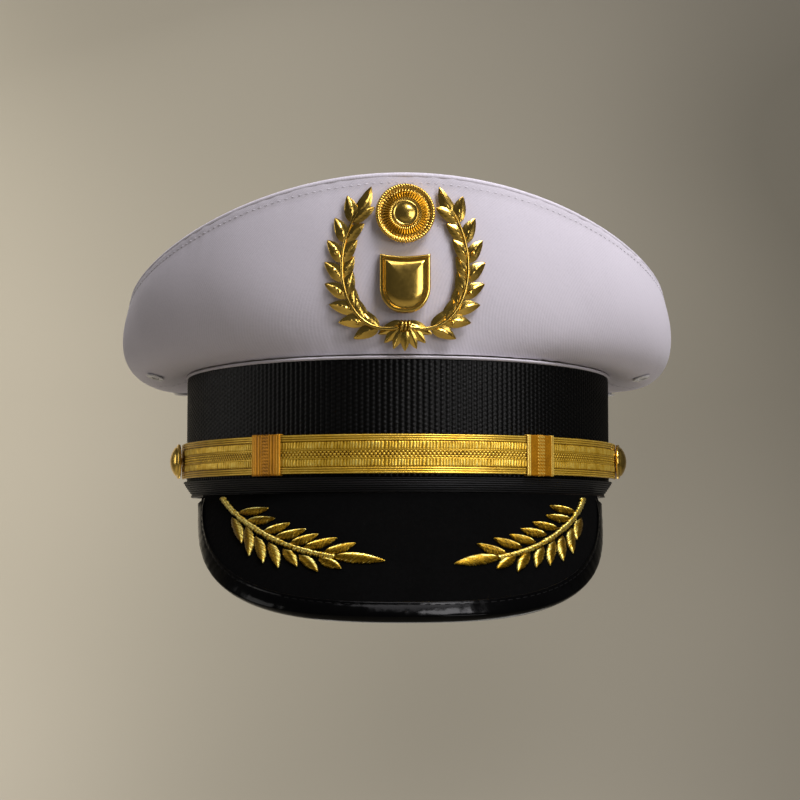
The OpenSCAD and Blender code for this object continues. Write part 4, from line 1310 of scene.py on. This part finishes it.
def badge_wreath():
    """Two branches, a fan of leaves at their foot and a tie where the stems meet."""
    bottom, foot = WREATH_BOTTOM, WREATH_FOOT
    parts = []
    for s in (-1, 1):
        parts += laurel_branch(s, [(2.5, bottom + 9), (20, bottom + 5), (29, bottom + 30), (17, bottom + 50)])
        for k, a in enumerate(np.radians([66, 44, 22])):
            tip = (0.3 + 10.2 * math.sin(a), foot - 10.2 * math.cos(a))
            parts.append(laurel_leaf(s, (0.3, foot), tip, 4.2, 0, 0.15 * k))
    parts.append(laurel_leaf(1, (0, foot), (0, bottom + 0.7), 4.2, 0, 0.5))
    tie = badge_pt(0.0, bottom + 9.6, 1.2)
    u = np.linspace(0, 2 * np.pi, 28)
    for x in (-1.25, 0, 1.25):
        loop = tie + vec(x + 0.25 * np.sin(u), -1.5 * np.sin(u), 1.7 * np.cos(u))
        parts.append(rod(loop, unit(loop - tie - np.array([x, 0, 0])), 0.55, 8))
    return merge(parts)


def shield_outline(scale):
    """Plain heater shield, as a closed line."""
    w, h = SHIELD_W, SHIELD_H
    curve = [(w * math.cos(b) ** 0.85, h * 0.45 * (1 - math.sin(b))) for b in np.linspace(0, math.pi / 2, 30)]
    right = [(w, z) for z in np.linspace(h, h * 0.45, 12, endpoint=False)] + curve
    left = [(-x, z) for x, z in right[::-1]][1:]
    top = [(x, h - 0.9 * math.sin(math.pi * (x + w) / (2 * w))) for x in np.linspace(-w, w, 24)[1:-1]]
    middle = np.array((0, h * 0.52))
    return (np.array(right + left + top) - middle) * scale + middle


def badge_shield():
    """Shield with a raised border and a domed field."""
    y = float(badge_pt(0.0, SHIELD_LOW + 11.5, 0.0)[1]) + 0.1
    rings = []
    for scale, height in ((1, 0.0), (1, 1.9), (0.985, 2.3), (0.95, 2.55), (0.90, 2.55), (0.865, 2.2),
                          (0.85, 1.95), (0.80, 1.95), (0.74, 2.5), (0.6, 2.95), (0.4, 3.25), (0.2, 3.35),
                          (0.02, 3.4)):
        x, z = shield_outline(scale).T
        rings.append(vec(x, y - height, SHIELD_LOW + z))
    return capped(np.array(rings))


def badge_disc():
    """Disc with a rope edge, a ring of rays and a plain boss."""
    z = BADGE_Z + BADGE_H - DISC_R
    y = float(badge_pt(0.0, z, 0.0)[1])
    b = circle(288)
    rings = []
    for r, height, ray in ((10.1, 0.0, 0), (10.4, 0.4, 0), (10.2, 1.6, 0), (9.1, 1.5, 0), (8.9, 1.3, 0.05),
                           (8.5, 1.5, 0.30), (7.2, 1.65, 0.34), (6.0, 1.75, 0.30), (5.2, 1.8, 0.16),
                           (4.9, 1.6, 0), (4.7, 1.6, 0), (4.55, 2.15, 0), (4.2, 2.3, 0), (3.9, 2.1, 0),
                           (3.6, 2.0, 0), (2.6, 2.5, 0), (1.4, 2.85, 0), (0.05, 3.0, 0)):
        rings.append(vec(r * np.sin(b), y - height - ray * np.cos(b * DISC_RAYS), z + r * np.cos(b)))
    parts = [capped(np.array(rings))]
    u = np.linspace(0, 2 * np.pi, 961)
    for twist in (u * 34, u * 34 + np.pi):
        r = 9.85 + 0.33 * np.cos(twist)
        path = vec(r * np.sin(u), y - 1.75 - 0.33 * np.sin(twist), z + r * np.cos(u))
        parts.append(rod(path, np.broadcast_to(FRONT, path.shape), 0.44, 8))
    return merge(parts)


piece("badge_laurel_wreath", badge_wreath(), gilt, ["badge_wreath"], sharp=60)
piece("badge_plain_shield", badge_shield(), gilt, ["badge_shield"], sharp=40)
piece("badge_rayed_disc", badge_disc(), gilt, ["badge_disc"], sharp=60)


# ---- CAD nodes that keep their own meshes ----
KEPT = {
    "sweatband_reed": reed, "crown_rim_wire": steel, "rim_wire_ferrule": brass,
    "front_stay": plastic, "visor_core": visor_board, "badge_screw_posts": brass, "badge_thumb_nuts": brass,
    "button_shank_left": brass, "button_shank_right": brass, "button_washers": nickel, "button_nuts": brass,
}
for name, material in KEPT.items():
    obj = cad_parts[name]
    obj.data.materials.clear()
    obj.data.materials.append(material)

# ---- Sheets ----
def declare(obj, grid, held, closed=False, **more):
    """Measures a sheet's grid of points, its longest way across and its longest way round, and keeps neither.
    """
    p = np.concatenate([grid, grid[:, :1]], 1) if closed else grid
    one, two = run(p, 0)[-1].max(), run(p, 1)[:, -1].max()


def side_grid(a0, a1):
    return side_pt(np.linspace(a0, a1, 160)[:, None], np.linspace(0, 1, 40)[None, :])


def band_grid(d, z0, z1, a0=-math.pi, a1=math.pi):
    return wall(np.linspace(a0, a1, 361)[:, None], d, np.array([[z0, z1]]))


visor_grid = visor_pt(*np.broadcast_arrays(visor_a, np.linspace(0, 1, 30)[None, :]))
rim_rings = np.array([rim_pt(circle(400), r) for r in np.linspace(1, 0.01, 40)])
shield_rings = np.array([shield_ring(r) for r in np.linspace(1, 0.02, 24)])
declare(front_panel, side_grid(-SEAM, SEAM), "stretched", with_pieces=[piping, topstitch])
declare(left_panel, side_grid(SEAM, math.pi), "stretched")
declare(right_panel, side_grid(-math.pi, -SEAM), "stretched")
declare(top_panel, rim_rings, "stretched", closed=True)
declare(lining, lining_grid, "gathered", closed=True)
declare(sweat_shield, shield_rings, "laid", closed=True, rests_on=[lining], with_pieces=[shield_thread])
declare(visor_top, visor_grid, "stretched")
declare(visor_under, visor_grid, "stretched")
declare(web, band_grid(-0.4, WELT_TOP, BAND_TOP), "stretched")
declare(sweat, band_grid(SWEAT_IN, 0, SWEAT_HI), "stretched", with_pieces=[sweat_thread, bow])
declare(pad, band_grid(-2.7, PAD_LO, PAD_HI, -PAD_END, PAD_END), "laid", rests_on=[sweat])
for obj, sign in ((strap_left, 1), (strap_right, -1)):
    strap_grid = band_grid(STRAP_BACK, STRAP_Z, STRAP_Z + STRAP_W, -sign * STRAP_LAP, sign * strap_end(0))
    declare(obj, strap_grid, "stretched")

# ---- Stage, light and camera, in metres ----
FLOOR_Z, WALL_Y, CURVE = -0.64, 1.6, 0.8
scene = bpy.context.scene


def studio_sweep():
    """Pale floor that curves up into a wall, with painted shade that darkens it towards the right."""
    bend = np.linspace(0, math.pi / 2, 24)
    y = np.concatenate([[-3.0], WALL_Y - CURVE + CURVE * np.sin(bend), [WALL_Y]])
    z = np.concatenate([[FLOOR_Z], FLOOR_Z + CURVE - CURVE * np.cos(bend), [3.0]])
    points = vec(np.linspace(-3.5, 3.5, 3)[:, None], y, z)
    mesh = bpy.data.meshes.new("studio_sweep")
    mesh.from_pydata(points.reshape(-1, 3).tolist(), [], quads(3, len(y)).tolist())
    mesh.polygons.foreach_set("use_smooth", [True] * len(mesh.polygons))
    p = Paint("studio_pale", rough=0.9, spec=0.2)
    across = p.node("SeparateXYZ", {"Vector": p.place()}).outputs["X"]
    # Painted shade: darker towards the right, plus a soft random mottle.
    painted_shade_fac = p.math("ADD", p.math("MULTIPLY", across, 0.5), p.noise(p.place(), 1.2, 1))
    p.color(painted_shade_fac, (0.1, (0.47, 0.435, 0.36)), (0.9, (0.22, 0.205, 0.165)))
    mesh.materials.append(p.material)
    return bpy.data.objects.new("studio_sweep", mesh)


sweep = studio_sweep()
scene.collection.objects.link(sweep)


def aimed(name, data, place, way):
    """Links a light or camera at a place, looking along way."""
    obj = bpy.data.objects.new(name, data)
    obj.location = place
    obj.rotation_mode = "QUATERNION"
    obj.rotation_quaternion = Vector(way).to_track_quat("-Z", "Y")
    scene.collection.objects.link(obj)
    return obj


def area_light(name, place, target, size, power, color, spread=180):
    data = bpy.data.lights.new(name, "AREA")
    data.shape, data.size, data.size_y = "RECTANGLE", size[0], size[1]
    data.energy, data.color = power, color
    data.spread = math.radians(spread)
    aimed(name, data, place, Vector(target) - Vector(place))


area_light("key", (0.62, -0.95, 1.30), (0, 0, 0.05), (0.7, 0.7), 24, (1.0, 0.97, 1.0))
area_light("top", (0.10, -0.25, 1.6), (0, 0, 0.05), (1.2, 0.9), 11, (1.0, 0.97, 1.0))
area_light("front", (0.9, -1.3, 0.15), (0, 0, 0.02), (0.7, 0.7), 6, (1.0, 0.97, 0.96))
area_light("left", (-1.5, 0.0, 0.3), (0, 0, 0.03), (0.5, 0.8), 2.4, (1.0, 0.97, 0.93))
area_light("back", (-0.3, 1.2, 1.1), (0, 0.1, 0.05), (0.8, 0.5), 6.5, (1.0, 0.98, 0.95))
area_light("wall", (-1.5, 0.6, 1.1), (-0.5, 1.6, 0.1), (0.6, 0.6), 5.5, (1.0, 0.95, 0.84), 80)
area_light("under", (0.1, 0.45, -0.62), (0, 0, 0.02), (0.6, 0.6), 1.6, (1.0, 0.96, 0.9))
scene.view_settings.view_transform = "Standard"
scene.world = bpy.data.worlds.new("studio")
scene.world.use_nodes = True
background = scene.world.node_tree.nodes["Background"]
background.inputs["Color"].default_value = (0.78, 0.76, 0.74, 1)
background.inputs["Strength"].default_value = 0.08

TURN_X, TURN_Y, PITCH = 0.0244, 0.9997, math.radians(4.12)  # the camera looks slightly right and up
camera_data = bpy.data.cameras.new("camera")
camera_data.lens, camera_data.sensor_width = 75.6, 36
camera_data.shift_x = 0.0031
camera_data.clip_start, camera_data.clip_end = 0.01, 20
look = (TURN_X * math.cos(PITCH), TURN_Y * math.cos(PITCH), math.sin(PITCH))
scene.camera = aimed("camera", camera_data, (-0.0171, -0.6998, -0.0103), look)
